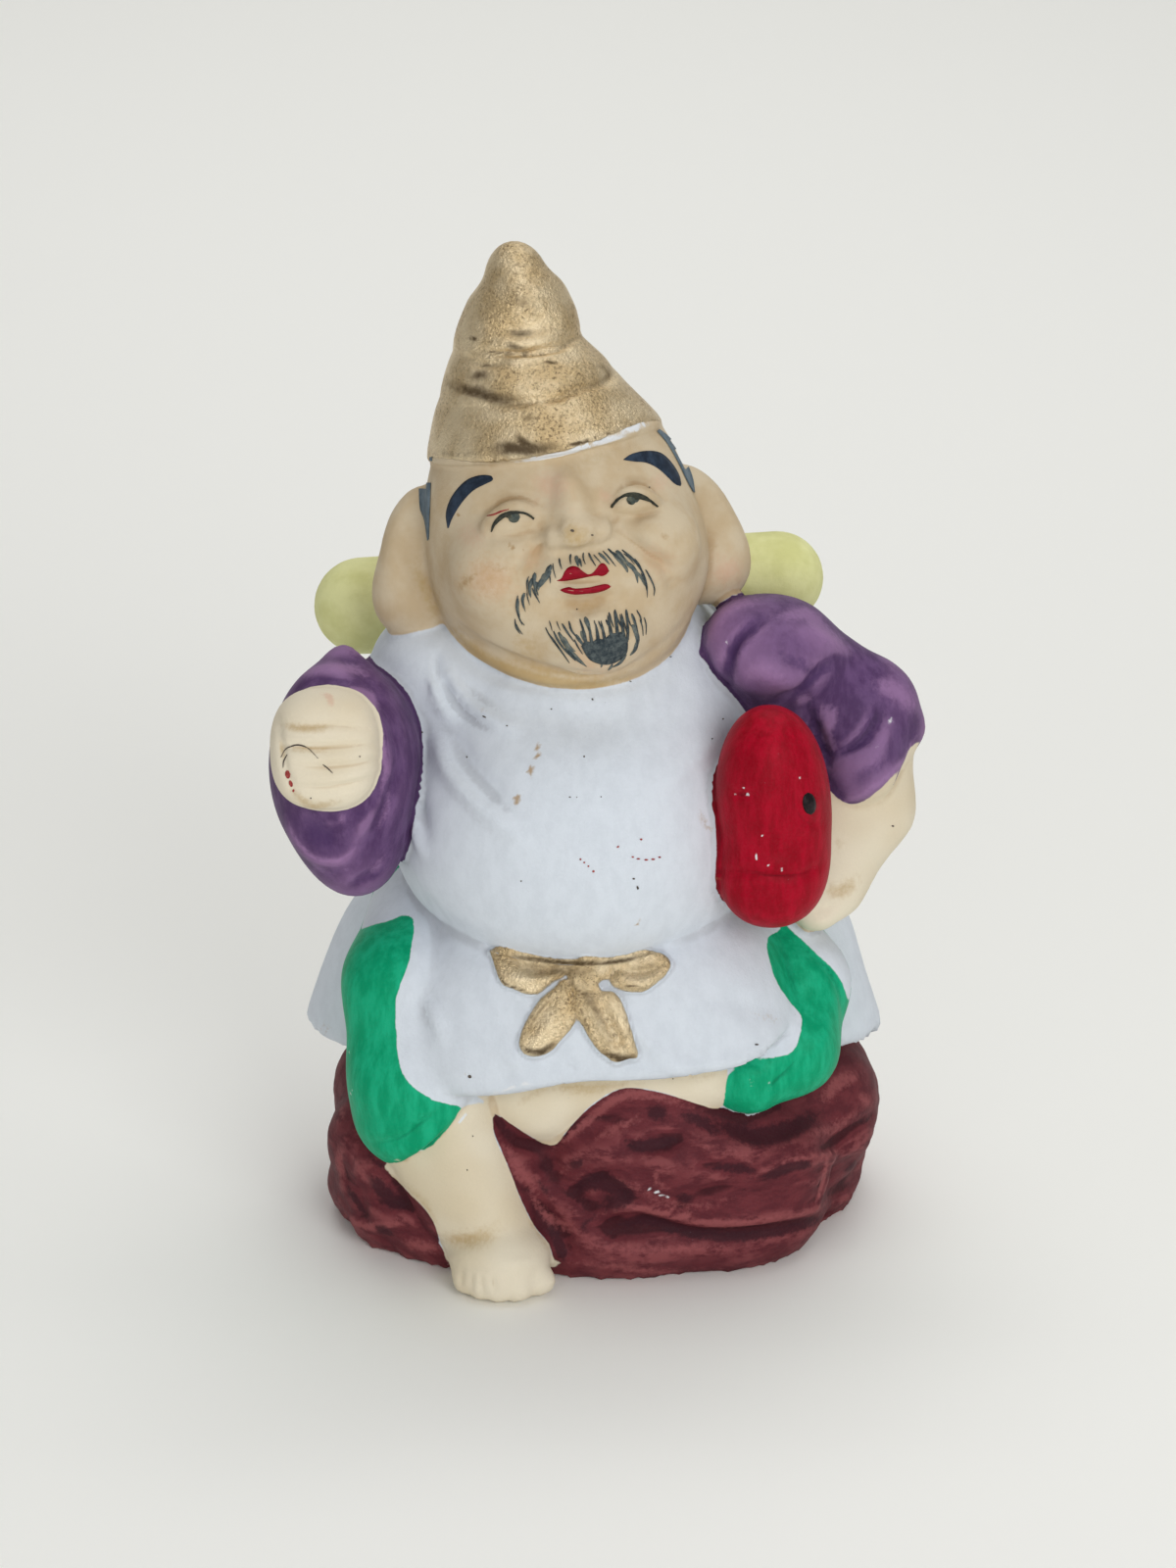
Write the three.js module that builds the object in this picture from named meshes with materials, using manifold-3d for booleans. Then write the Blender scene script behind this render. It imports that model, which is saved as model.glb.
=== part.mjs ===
// A small cast clay doll: a lucky god who sits on a rock with a red fish under one arm.
// The doll and its rock are one casting, so the part is one closed solid with a flat underside.
// The body is laid out as soft volumes that run into each other, like clay pressed into a mould,
// and one skin is then drawn over all of them.
import * as THREE from "three";
import { mergeVertices } from "three/addons/utils/BufferGeometryUtils.js";
import Module from "manifold-3d";

// Driving dimensions, in millimetres.
const FIGURE_HEIGHT = 100; // table to just above the tip of the cap
const SEAM_SOFTNESS = 0.8; // how far two neighbouring volumes melt into each other
const DETAIL_CELL = 1.85; // the skin's facets on the head and from front to back in the front half
const SIDE_CELL = 2.1; // the same from side to side
const BODY_CELL = 2.6; // the same upwards, below the shoulders
const PLAIN_CELL = 3.1; // the same from front to back in the plain rear half

// Everything below is laid out in hundredths of the height, on a doll that faces -Y.
const LAYOUT_UNIT = FIGURE_HEIGHT / 100;

const HEAD = { at: [-1.7, -3.0, 71.0], lean: -8.4, turn: 6, nod: -8 };
const HEM_HEIGHT = 18.2; // lower edge of the skirt's side flaps
const SKIRT_FLARE = 0.33; // how much wider the side flaps get for each unit down
const BOW_FRONT = -20.7; // how far forward the sash bow lies

const degrees = THREE.MathUtils.degToRad;
const clamp = THREE.MathUtils.clamp;
const scratch = new THREE.Vector3();

// A volume is a function of a point: under 0 inside, 0 on the surface, over 0 outside.

// An egg with three radii; a roundness over 2 makes its corners fuller.
function egg(at, radii, tilt = [0, 0, 0], roundness = 2) {
  const middle = new THREE.Vector3(...at);
  const [rx, ry, rz] = radii;
  const euler = new THREE.Euler(degrees(tilt[0]), degrees(tilt[1]), degrees(tilt[2]), "ZYX");
  const upright = new THREE.Quaternion().setFromEuler(euler).invert();
  const smallest = 1e-6;
  return (p) => {
    scratch.copy(p).sub(middle).applyQuaternion(upright);
    const x = Math.abs(scratch.x / rx);
    const y = Math.abs(scratch.y / ry);
    const z = Math.abs(scratch.z / rz);
    const reach = Math.max((x ** roundness + y ** roundness + z ** roundness) ** (1 / roundness), smallest);
    const rate = Math.hypot(x ** (roundness - 1) / rx, y ** (roundness - 1) / ry, z ** (roundness - 1) / rz);
    return (reach - 1) / Math.max(rate * reach ** (1 - roundness), smallest);
  };
}

// A limb with round ends, from one joint to the next.
function limb(from, to, startRadius, endRadius) {
  const start = new THREE.Vector3(...from);
  const along = new THREE.Vector3(...to).sub(start);
  const lengthSquared = along.lengthSq();
  return (p) => {
    scratch.copy(p).sub(start);
    const t = clamp(scratch.dot(along) / lengthSquared, 0, 1);
    return scratch.addScaledVector(along, -t).length() - THREE.MathUtils.lerp(startRadius, endRadius, t);
  };
}

// The smaller of two values, with a round valley of the given softness where they meet.
function softMin(a, b, softness) {
  const overlap = Math.max(softness - Math.abs(a - b), 0) / softness;
  return Math.min(a, b) - (overlap * overlap * softness) / 4;
}

const softMax = (a, b, softness) => -softMin(-a, -b, softness);

function blend(softness, ...volumes) {
  return (p) => volumes.reduce((nearest, volume) => softMin(nearest, volume(p), softness), Infinity);
}

// Keeps the part of a volume where side(p) is negative, with a soft edge.
function trim(volume, side, softness) {
  return (p) => softMax(volume(p), side(p), softness);
}

// A value that runs smoothly through stations of [position, value].
function stationValue(stations, position) {
  const last = stations.length - 1;
  const held = clamp(position, stations[0][0], stations[last][0]);
  const i = Math.min(stations.findIndex((station, k) => k === last || held <= stations[k + 1][0]), last - 1);
  const [a, b] = [stations[i], stations[i + 1]];
  const before = stations[Math.max(i - 1, 0)];
  const after = stations[Math.min(i + 2, last)];
  const width = b[0] - a[0];
  const t = (held - a[0]) / width;
  const startSlope = ((b[1] - before[1]) / (b[0] - before[0])) * width;
  const endSlope = ((after[1] - a[1]) / (after[0] - a[0])) * width;
  const rise = b[1] - a[1];
  const bend = 3 * rise - 2 * startSlope - endSlope;
  const twist = startSlope + endSlope - 2 * rise;
  return a[1] + t * (startSlope + t * (bend + t * twist));
}

// Raises a soft ridge (or presses a groove, with a negative height) along a path on a volume.
function fold(volume, path, width, height) {
  const pieces = 8;
  const curve = new THREE.CatmullRomCurve3(path.map((point) => new THREE.Vector3(...point)));
  const points = curve.getPoints(pieces);
  const spans = points.slice(1).map((end, i) => end.clone().sub(points[i]));
  return (p) => {
    let nearest = Infinity;
    let place = 0;
    spans.forEach((span, i) => {
      scratch.copy(p).sub(points[i]);
      const t = clamp(scratch.dot(span) / span.lengthSq(), 0, 1);
      const distance = scratch.addScaledVector(span, -t).length();
      if (distance < nearest) {
        nearest = distance;
        place = (i + t) / pieces;
      }
    });
    const fade = Math.sqrt(Math.sin(Math.PI * clamp(place, 0.01, 0.99)));
    return volume(p) - height * fade * Math.exp(-((nearest / width) ** 2));
  };
}

const mirrored = ([x, y, z]) => [-x, y, z];

// Moves a volume that was laid out around the head's own centre into its place.
function onHead(volume) {
  const centre = new THREE.Vector3(...HEAD.at);
  const pose = new THREE.Euler(degrees(HEAD.nod), degrees(HEAD.lean), degrees(HEAD.turn), "YZX");
  const upright = new THREE.Quaternion().setFromEuler(pose).invert();
  const local = new THREE.Vector3();
  return (p) => volume(local.copy(p).sub(centre).applyQuaternion(upright));
}

// The face: a full egg with round cheeks, a soft short nose and a small closed mouth.
function face() {
  const skull = egg([-0.5, 0.8, 2.0], [12.4, 11.4, 15.0]);
  const jowls = egg([-0.2, -0.9, -2.4], [12.7, 11.0, 10.2]);
  const cheek = { at: [6.4, -7.4, 0.2], radii: [4.7, 4.2, 3.8] };
  const nostril = { at: [1.8, -11.5, 2.6], radii: [1.1, 1.15, 0.85] };
  const socket = [[3.0, -11.2, 5.2], [5.6, -10.4, 5.6], [8.4, -8.6, 4.8]];
  const smileLine = [[2.8, -12.2, 2.0], [4.6, -11.6, -0.4], [5.6, -10.8, -3.0]];
  const cheeks = [cheek.at, mirrored(cheek.at)].map((at) => egg(at, cheek.radii));
  let skin = blend(2.5, blend(3, skull, jowls), ...cheeks);
  skin = fold(skin, socket, 1.3, -0.5);
  skin = fold(skin, socket.map(mirrored), 1.3, -0.5);
  skin = blend(1.8, skin, egg([0.1, -10.9, 5.0], [1.4, 1.6, 2.6], [-14, 0, 0]));
  skin = blend(0.9, skin, egg([0.1, -12.0, 3.1], [1.7, 1.4, 1.3]));
  skin = blend(0.8, skin, egg(nostril.at, nostril.radii), egg(mirrored(nostril.at), nostril.radii));
  skin = blend(1.8, skin, egg([0.2, -10.0, -1.0], [3.3, 2.4, 2.2]));
  skin = fold(skin, smileLine, 0.9, -0.4);
  skin = fold(skin, smileLine.map(mirrored), 0.9, -0.4);
  skin = fold(skin, [[-2.3, -11.9, -1.0], [0.2, -12.6, -1.0], [2.7, -11.9, -1.0]], 0.5, -0.3);
  skin = fold(skin, [[-1.9, -11.4, -3.5], [0.2, -11.9, -3.7], [2.3, -11.4, -3.5]], 0.8, -0.35);
  return blend(2.4, skin, egg([0.3, -8.9, -7.0], [3.6, 2.9, 2.8]));
}

// Long ears with heavy lobes; his right one (at -X) stands out further.
function ears() {
  const rightRim = egg([-14.3, 3.0, 2.2], [2.9, 2.8, 5.4], [0, 24, 0]);
  const rightLobe = egg([-14.8, 2.2, -2.8], [4.3, 3.1, 4.3]);
  const rightHollow = [[-13.6, 0.4, 6.0], [-15.4, -0.1, 2.0], [-15.2, -0.9, -1.6]];
  const leftRim = egg([12.9, 3.2, 0.6], [2.6, 2.8, 4.8], [0, -26, 0]);
  const leftLobe = egg([12.9, 2.2, -4.4], [3.9, 3.1, 4.1]);
  const leftHollow = [[12.4, 0.4, 3.4], [14.0, -0.1, 0.0], [13.6, -0.9, -3.4]];
  const right = fold(blend(2, rightRim, rightLobe), rightHollow, 1.0, -0.55);
  const left = fold(blend(2, leftRim, leftLobe), leftHollow, 1.0, -0.55);
  return blend(0.5, right, left);
}

// The soft cap: round sections stacked up a leaning profile, with wrapped folds and a knob on top.
function cap() {
  const brim = 9.9;
  const knobTop = 24.6;
  const middles = [[8, -1.1], [13.5, -1.7], [18.7, -2.4], [21.5, -1.5], [24.6, -0.8]];
  const radii = [[8, 11.1], [9.9, 10.75], [13.5, 9.3], [16.3, 7.7], [18.7, 6.2], [21.5, 5.5], [24.6, 4.2]];
  const wraps = [[19.2, 0.4, 0.7], [14.6, 0.9, 0.45], [12.4, 0.5, 0.25]];
  const depth = 0.97; // front to back, for a width of 1
  const crown = (p) => {
    const radius = stationValue(radii, p.z);
    const x = p.x - stationValue(middles, p.z);
    const y = (p.y - 0.1) / depth;
    const away = Math.hypot(x, y);
    const front = away > 0 ? -y / away : 0;
    const grooves = wraps.map(([level, rise, cut]) => {
      const drop = (p.z - level - rise * (1 - front)) / 0.55;
      return cut * (0.4 + 0.6 * Math.max(front, 0)) * Math.exp(-(drop ** 2));
    });
    return (away - radius) * 0.9 + grooves.reduce((sum, cut) => sum + cut, 0);
  };
  const topped = trim(crown, (p) => p.z - knobTop, 1.5);
  const tip = egg([-0.5, -0.1, 24.8], [3.9, 4.1, 3.6]);
  return trim(blend(1.2, topped, tip), (p) => brim - p.z, 0.8);
}

// The robe over chest, belly and back, with the folds that fall from the neck.
function robe() {
  const belly = egg([-0.8, -4.5, 45.0], [18.9, 16.8, 13.4]);
  const chest = egg([-1.0, -1.0, 56.0], [16.0, 11.8, 9.5]);
  const shoulder = egg([-14.5, -2.0, 58.3], [6.2, 7.0, 5.6]);
  const collar = egg([-1.0, 0.0, 62.0], [11.0, 9.0, 6.0]);
  const back = egg([0.0, 5.5, 47.0], [18.5, 11.5, 18.0]);
  const folds = [
    { path: [[-14.4, -12.5, 61.2], [-13.8, -14.0, 58.6], [-13.0, -15.5, 57.0]], width: 0.8, height: 0.6 },
    { path: [[-13.2, -13.5, 60.6], [-11.2, -15.5, 58.4], [-7.2, -17.0, 56.6]], width: 0.9, height: 0.65 },
    { path: [[-14.2, -16.5, 54.4], [-10.8, -19.5, 49.5], [-8.0, -20.5, 47.6]], width: 1.1, height: 0.6 },
    { path: [[-16.9, -13.0, 51.0], [-16.4, -14.5, 48.4], [-15.6, -16.0, 45.4]], width: 0.7, height: 0.5 },
    { path: [[8.0, -12.0, 61.0], [0.0, -14.3, 58.4], [-5.0, -13.9, 58.8]], width: 0.8, height: 0.3 },
  ];
  const cloth = blend(4, belly, chest, shoulder, collar, back);
  return folds.reduce((made, line) => fold(made, line.path, line.width, line.height), cloth);
}

// The front panel of the skirt across the knees: wider at its uneven hem than at the sash.
function lapPanel() {
  const panel = egg([0, 0, 0], [17.4, 13.6, 10.0], [3, 0, 0], 3);
  const middle = new THREE.Vector3(0.9, -7.6, 29.5);
  const spread = 0.02; // widening for each unit below the sash
  const hem = [[-17, 21.6], [-13, 20.7], [-8, 21.8], [-2.5, 23.4], [7.7, 24.0], [15.9, 25.0], [19.5, 26.6]];
  const local = new THREE.Vector3();
  const widening = (p) => {
    local.copy(p).sub(middle);
    local.x /= 1 + spread * (4 - local.z);
    return panel(local);
  };
  const hung = trim(widening, (p) => stationValue(hem, p.x) - p.z, 0.9);
  return fold(hung, [[-14.0, -17.5, 35.0], [-13.2, -19.5, 31.5], [-13.8, -20.0, 27.5]], 1.1, 0.6);
}

// The sides and back of the skirt: a flaring cone that ends in a fluted hem on the rock.
function skirtFlaps() {
  const middle = { x: 0.7, y: 4.5 };
  const hemWidth = 28.8;
  const hemDepth = 13.0;
  const flutes = 9;
  const fluteDepth = 0.35;
  const cone = (p) => {
    const rise = p.z - HEM_HEIGHT;
    const width = hemWidth - SKIRT_FLARE * rise;
    const depth = hemDepth - 0.05 * rise;
    const around = Math.atan2(p.x - middle.x, p.y - middle.y);
    const slack = clamp((36 - p.z) / 12, 0, 1);
    const reach = Math.hypot((p.x - middle.x) / width, (p.y - middle.y) / depth);
    return (reach - 1) * depth * 1.3 + fluteDepth * slack * Math.sin(flutes * around + 0.5);
  };
  const shoulders = egg([middle.x, middle.y, 20.0], [31.5, 15.5, 20.0]);
  const rounded = trim(cone, shoulders, 3);
  return trim(rounded, (p) => HEM_HEIGHT + 0.4 * Math.sin(p.x * 0.35) - p.z, 1.0);
}

// The raised arm: an oval sleeve seen end on, its fist held out in front.
function raisedSleeve() {
  const opening = egg([-22.2, -12.8, 52.3], [6.8, 8.0, 10.2]);
  const droop = egg([-22.0, -12.3, 45.2], [4.8, 5.6, 5.6]);
  const upperArm = limb([-18.5, -4.0, 55.5], [-21.0, -9.0, 54.0], 5.2, 6.0);
  const peak = limb([-22.4, -10.5, 58.0], [-22.6, -9.0, 62.4], 2.8, 1.2);
  return blend(2.5, opening, droop, upperArm, peak);
}

function fist() {
  const palm = egg([-23.6, -19.4, 57.4], [5.2, 5.4, 6.2], [0, 0, 0], 2.8);
  const gaps = [59.8, 57.6, 55.4, 53.4]; // heights between the curled fingers
  const front = -20.5;
  return (p) => {
    const bow = 0.03 * (p.x + 23.6) ** 2;
    const facing = clamp((front - p.y) / 2.5, 0, 1);
    const pressed = gaps.reduce((sum, gap) => sum + Math.exp(-(((p.z - gap + bow) / 0.45) ** 2)), 0);
    return palm(p) + 0.4 * facing * pressed;
  };
}

// The lowered arm: a puffed sleeve, then the bare forearm down to the knee.
function loweredSleeve() {
  const puff = egg([16.6, -5.0, 61.0], [6.7, 6.8, 4.9], [0, 14, 0]);
  const upperArm = limb([18.5, -2.0, 58.6], [27.4, -1.5, 53.8], 5.8, 4.2);
  const cuff = limb([27.4, -1.5, 53.8], [25.6, -5.5, 50.0], 4.4, 4.0);
  let sleeve = blend(2.5, puff, upperArm, cuff);
  sleeve = fold(sleeve, [[12.6, -11.5, 64.0], [15.0, -12.0, 61.5], [15.5, -12.0, 59.0]], 0.8, -0.5);
  sleeve = fold(sleeve, [[17.5, -9.0, 64.5], [20.0, -9.0, 61.5], [23.0, -8.0, 57.5]], 0.9, 0.4);
  return fold(sleeve, [[21.0, -9.0, 57.5], [23.5, -8.5, 54.0], [24.6, -9.0, 50.0]], 0.9, -0.5);
}

function forearm() {
  const elbow = limb([27.0, -1.0, 50.5], [27.0, -2.0, 44.0], 4.3, 4.1);
  const lower = limb([27.0, -2.0, 44.0], [23.6, -5.0, 37.0], 4.1, 3.2);
  const wrist = limb([23.6, -5.0, 37.0], [22.3, -7.5, 33.8], 3.2, 2.5);
  const inside = egg([22.5, -3.0, 44.0], [6.0, 5.5, 9.0]); // clay that fills the gap to the body
  return blend(2, elbow, lower, wrist, inside);
}

function fish() {
  const body = egg([17.5, -15.3, 49.2], [5.3, 6.0, 10.2], [8, -4, 0]);
  const snout = egg([17.8, -16.0, 42.2], [4.7, 5.2, 4.6]);
  const lip = [[13.8, -20.5, 42.4], [17.8, -22.0, 41.2], [21.4, -20.0, 42.6]];
  return fold(blend(2.5, body, snout), lip, 0.6, -0.5);
}

// Baggy trousers to below the knee on both legs.
function trousers() {
  const rightThigh = limb([-14.0, 0.0, 32.5], [-17.0, -9.5, 28.8], 7.2, 6.3);
  const rightCalf = limb([-17.0, -9.5, 28.8], [-15.7, -12.6, 20.0], 6.4, 5.8);
  const rightCuff = egg([-15.2, -13.0, 17.8], [5.9, 5.6, 2.6], [12, 30, 0]);
  const leftThigh = limb([13.5, 0.0, 32.0], [19.8, -6.0, 27.0], 7.0, 5.4);
  const leftKnee = limb([19.8, -6.0, 27.0], [19.2, -10.8, 22.8], 5.4, 4.8);
  const leftCuff = limb([19.2, -10.8, 22.8], [15.6, -13.6, 20.9], 4.7, 3.6);
  return blend(1.2, blend(2, rightThigh, rightCalf, rightCuff), blend(1.5, leftThigh, leftKnee, leftCuff));
}

// The bare right leg reaches the table; the left one is tucked across the rock.
function bareLegs() {
  const shin = limb([-14.2, -12.4, 17.5], [-10.2, -14.4, 7.0], 5.0, 4.2);
  const foot = egg([-8.6, -16.4, 3.2], [5.0, 5.2, 3.5]);
  const heel = egg([-9.6, -14.0, 4.6], [4.6, 4.4, 4.6]);
  // Each toe is [x, y, half its width], from the little toe to the big one.
  const toes = [[-11.9, -18.6, 1.15], [-10.3, -19.6, 1.25], [-8.6, -20.1, 1.35], [-6.7, -20.0, 1.5]];
  const bigToe = [-4.9, -18.9, 1.8];
  const toeHeight = 1.6;
  const toeEggs = [...toes, bigToe].map(([x, y, radius]) => egg([x, y, toeHeight], [radius, 1.6, 1.5]));
  const standing = blend(0.8, blend(1, shin, foot, heel), ...toeEggs);
  const tuckedShin = limb([16.0, -12.6, 21.0], [-1.0, -12.6, 19.8], 3.4, 3.5);
  const tuckedFoot = egg([-4.5, -12.4, 18.2], [5.6, 3.7, 4.3]);
  return blend(0.5, standing, blend(1, tuckedShin, tuckedFoot));
}

// The rock: a low boulder with broad slanting facets, higher in front under the tucked leg.
function rock() {
  const lumps = [
    egg([1.6, 3.0, 4.0], [26.9, 19.0, 13.5], [0, 0, 8]),
    egg([9.0, -5.0, 8.0], [14.5, 11.8, 10.6], [0, 0, 4], 3),
    egg([6.8, -12.4, 13.3], [9.6, 5.0, 7.0]),
    egg([-8.2, -10.2, 11.4], [5.0, 5.4, 7.2]),
    egg([0.0, 6.0, 12.0], [25.0, 14.0, 9.0]),
    egg([17.4, 2.5, 10.0], [10.8, 13.0, 8.6]),
    egg([-13.5, -0.8, 5.0], [12.2, 13.6, 10.0]),
  ];
  const boulder = blend(2.5, ...lumps);
  // Each wave is [along x, along y, along z, start]; their sum tilts the facets.
  const waves = [[0.24, 0.2, 0.42, 1.0], [-0.2, 0.3, 0.5, 2.6], [0.13, -0.34, 0.22, 4.1]];
  const waveAt = (p, [x, y, z, start]) => Math.sin(x * p.x + y * p.y + z * p.z + start);
  const rough = (p) => {
    const swell = waves.reduce((total, wave) => total + waveAt(p, wave), 0);
    return boulder(p) - 0.5 * (Math.abs(swell) - 0.8);
  };
  const ledge = fold(rough, [[1.5, -18.0, 18.0], [7.0, -18.0, 13.5], [24.0, -12.0, 8.0]], 0.9, 0.6);
  const worn = fold(ledge, [[2.0, -17.0, 6.5], [12.0, -17.5, 4.8], [27.0, -8.0, 8.0]], 0.9, -0.6);
  const foundation = -2.5; // a little under the table, where the underside is cut flat afterwards
  return trim(worn, (p) => foundation - p.z, 0.1);
}

// The pale roll across the shoulders, seen at both sides of the head.
function shoulderRoll() {
  const roll = limb([-21.9, 8.0, 61.0], [18.4, 9.5, 63.4], 4.7, 4.5);
  return blend(2.5, roll, egg([-1.0, 10.5, 60.0], [13.0, 7.0, 7.0]));
}

// Clay inside the hips, which leaves no sealed hollow between the legs, the skirt and the rock.
function hips() {
  return egg([2.0, -6.5, 20.5], [15.5, 6.3, 7.5]);
}

function sashBow() {
  const knot = egg([-0.6, BOW_FRONT - 0.3, 34.6], [1.9, 1.5, 1.7]);
  const leftLoop = egg([-5.2, BOW_FRONT, 34.8], [3.7, 1.2, 2.1], [0, 8, -6]);
  const rightLoop = egg([4.3, BOW_FRONT, 35.3], [3.6, 1.2, 1.8], [0, -6, 6]);
  const leftTail = egg([-3.8, BOW_FRONT - 0.4, 30.4], [1.9, 1.1, 4.0], [0, 28, 0]);
  const rightTail = egg([2.5, BOW_FRONT - 0.4, 30.2], [1.9, 1.1, 4.2], [0, -22, 0]);
  return blend(0.6, knot, leftLoop, rightLoop, leftTail, rightTail);
}

// Grid lines from start to end whose spacing changes smoothly with their place.
function gridLines(start, end, spacing) {
  const lines = [];
  for (let line = start; line < end; line += spacing(line)) lines.push(line);
  return lines;
}

// Draws one closed skin over a volume: one vertex in each grid cell that the surface runs through,
// and one four-sided face across each grid edge that it cuts.
function skinOver(volume, lines) {
  const counts = lines.map((line) => line.length);
  const corner = (i, j, k) => (i * counts[1] + j) * counts[2] + k;
  const depths = new Float64Array(counts[0] * counts[1] * counts[2]);
  const point = new THREE.Vector3();
  lines[0].forEach((x, i) =>
    lines[1].forEach((y, j) =>
      lines[2].forEach((z, k) => {
        depths[corner(i, j, k)] = volume(point.set(x, y, z));
      }),
    ),
  );
  fillPinches(depths, counts, corner);
  const cellMargin = 0.04; // keeps the vertices of neighbouring cells apart
  const cellVertex = new Map();
  const positions = [];
  const cellEdges = [];
  for (let axis = 0; axis < 3; axis += 1) {
    for (const [u, v] of [[0, 0], [0, 1], [1, 0], [1, 1]]) {
      const from = [0, 0, 0];
      from[(axis + 1) % 3] = u;
      from[(axis + 2) % 3] = v;
      const to = [...from];
      to[axis] = 1;
      cellEdges.push([from, to]);
    }
  }
  const place = ([i, j, k]) => new THREE.Vector3(lines[0][i], lines[1][j], lines[2][k]);
  const sum = (a, b) => a.map((value, n) => value + b[n]);

  // The cell's vertex starts at the mean of its edge crossings and then slides onto the surface.
  const vertexOf = (cell) => {
    const key = corner(...cell);
    if (cellVertex.has(key)) return cellVertex.get(key);
    const mean = new THREE.Vector3();
    let crossings = 0;
    for (const [from, to] of cellEdges) {
      const [a, b] = [sum(cell, from), sum(cell, to)];
      const [depthA, depthB] = [depths[corner(...a)], depths[corner(...b)]];
      if (depthA < 0 === depthB < 0) continue;
      mean.add(place(a).lerp(place(b), depthA / (depthA - depthB)));
      crossings += 1;
    }
    mean.divideScalar(crossings);
    const [low, high] = [place(cell), place(sum(cell, [1, 1, 1]))];
    const margin = high.clone().sub(low).multiplyScalar(cellMargin);
    positions.push(...settle(volume, mean, low.add(margin), high.sub(margin)).toArray());
    cellVertex.set(key, positions.length / 3 - 1);
    return positions.length / 3 - 1;
  };

  const triangles = [];
  const at = (index) => new THREE.Vector3().fromArray(positions, index * 3);
  for (let i = 1; i < counts[0] - 1; i += 1)
    for (let j = 1; j < counts[1] - 1; j += 1)
      for (let k = 1; k < counts[2] - 1; k += 1)
        for (let axis = 0; axis < 3; axis += 1) {
          const here = [i, j, k];
          const next = [...here];
          next[axis] += 1;
          const inside = depths[corner(...here)] < 0;
          if (inside === depths[corner(...next)] < 0) continue;
          const ring = [[0, 0], [-1, 0], [-1, -1], [0, -1]].map(([u, v]) => {
            const cell = [...here];
            cell[(axis + 1) % 3] += u;
            cell[(axis + 2) % 3] += v;
            return vertexOf(cell);
          });
          if (!inside) ring.reverse();
          const [a, b, c, d] = ring;
          const acrossFirst = at(a).distanceTo(at(c)) <= at(b).distanceTo(at(d));
          triangles.push(...(acrossFirst ? [a, b, c, a, c, d] : [b, c, d, b, d, a]));
        }
  const skin = new THREE.BufferGeometry();
  skin.setAttribute("position", new THREE.Float32BufferAttribute(positions, 3));
  skin.setIndex(triangles);
  return skin;
}

// Fills the corners of grid cells where two parts of the body would touch only along a diagonal,
// because a skin that meets itself at a single edge or point isn't one closed surface.
function fillPinches(depths, counts, corner) {
  const filled = -0.05;
  const unit = [[1, 0, 0], [0, 1, 0], [0, 0, 1]];
  const offsets = [0, 1, 2, 3, 4, 5, 6, 7].map((bits) => [bits & 1, (bits >> 1) & 1, (bits >> 2) & 1]);
  const add = (a, b) => a.map((value, n) => value + b[n]);
  const fill = (candidates) => {
    const open = candidates.filter((index) => depths[index] >= 0);
    depths[open.reduce((best, index) => (depths[index] < depths[best] ? index : best))] = filled;
  };
  const isPinchedFace = (cell, axis) => {
    const [u, v] = [unit[(axis + 1) % 3], unit[(axis + 2) % 3]];
    const indices = [cell, add(cell, u), add(add(cell, u), v), add(cell, v)].map((at) => corner(...at));
    const [a, b, c, d] = indices.map((index) => depths[index] < 0);
    if (a !== c || b !== d || a === b) return false;
    fill(indices);
    return true;
  };
  const isPinchedCell = (cell) => {
    const indices = offsets.map((offset) => corner(...add(cell, offset)));
    const inside = indices.map((index) => depths[index] < 0);
    const count = inside.filter(Boolean).length;
    if (count !== 2 && count !== 6) return false;
    const rarer = count === 2;
    if (inside[7 - inside.indexOf(rarer)] !== rarer) return false;
    fill(indices);
    return true;
  };
  let changed = true;
  while (changed) {
    changed = false;
    for (let i = 0; i < counts[0] - 1; i += 1)
      for (let j = 0; j < counts[1] - 1; j += 1)
        for (let k = 0; k < counts[2] - 1; k += 1) {
          const cell = [i, j, k];
          changed = [0, 1, 2].some((axis) => isPinchedFace(cell, axis)) || isPinchedCell(cell) || changed;
        }
  }
}

// Slides a point along the volume's slope until it lies on the surface, without leaving its cell.
function settle(volume, start, low, high) {
  const step = 0.05;
  const rounds = 4;
  const spot = start.clone();
  const slope = new THREE.Vector3();
  for (let round = 0; round < rounds; round += 1) {
    const depth = volume(spot);
    for (const axis of ["x", "y", "z"]) {
      const probe = spot.clone();
      probe[axis] += step;
      slope[axis] = (volume(probe) - depth) / step;
    }
    spot.addScaledVector(slope, -depth / Math.max(slope.lengthSq(), 0.05)).clamp(low, high);
  }
  return spot;
}

// Cuts away what lies under the table, which leaves the flat underside.
async function standOnTable(skin) {
  const wasm = await Module();
  wasm.setup();
  const solidOf = (geometry) => {
    const bare = geometry.clone();
    bare.deleteAttribute("normal");
    bare.deleteAttribute("uv");
    const merged = mergeVertices(bare);
    const vertProperties = merged.attributes.position.array;
    const triVerts = new Uint32Array(merged.index.array);
    return new wasm.Manifold(new wasm.Mesh({ numProp: 3, vertProperties, triVerts }));
  };
  const ground = new THREE.BoxGeometry(200, 200, 20).translate(0, 0, -10);
  const mesh = solidOf(skin).subtract(solidOf(ground)).getMesh();
  const stood = new THREE.BufferGeometry();
  stood.setAttribute("position", new THREE.BufferAttribute(mesh.vertProperties, 3));
  stood.setIndex(new THREE.BufferAttribute(mesh.triVerts, 1));
  return stood;
}

// Moves the middle of the footprint to the origin, so that the part stands on z = 0.
function centred(geometry) {
  geometry.computeBoundingBox();
  const middle = geometry.boundingBox.getCenter(new THREE.Vector3());
  return geometry.translate(-middle.x, -middle.y, 0);
}

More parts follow.
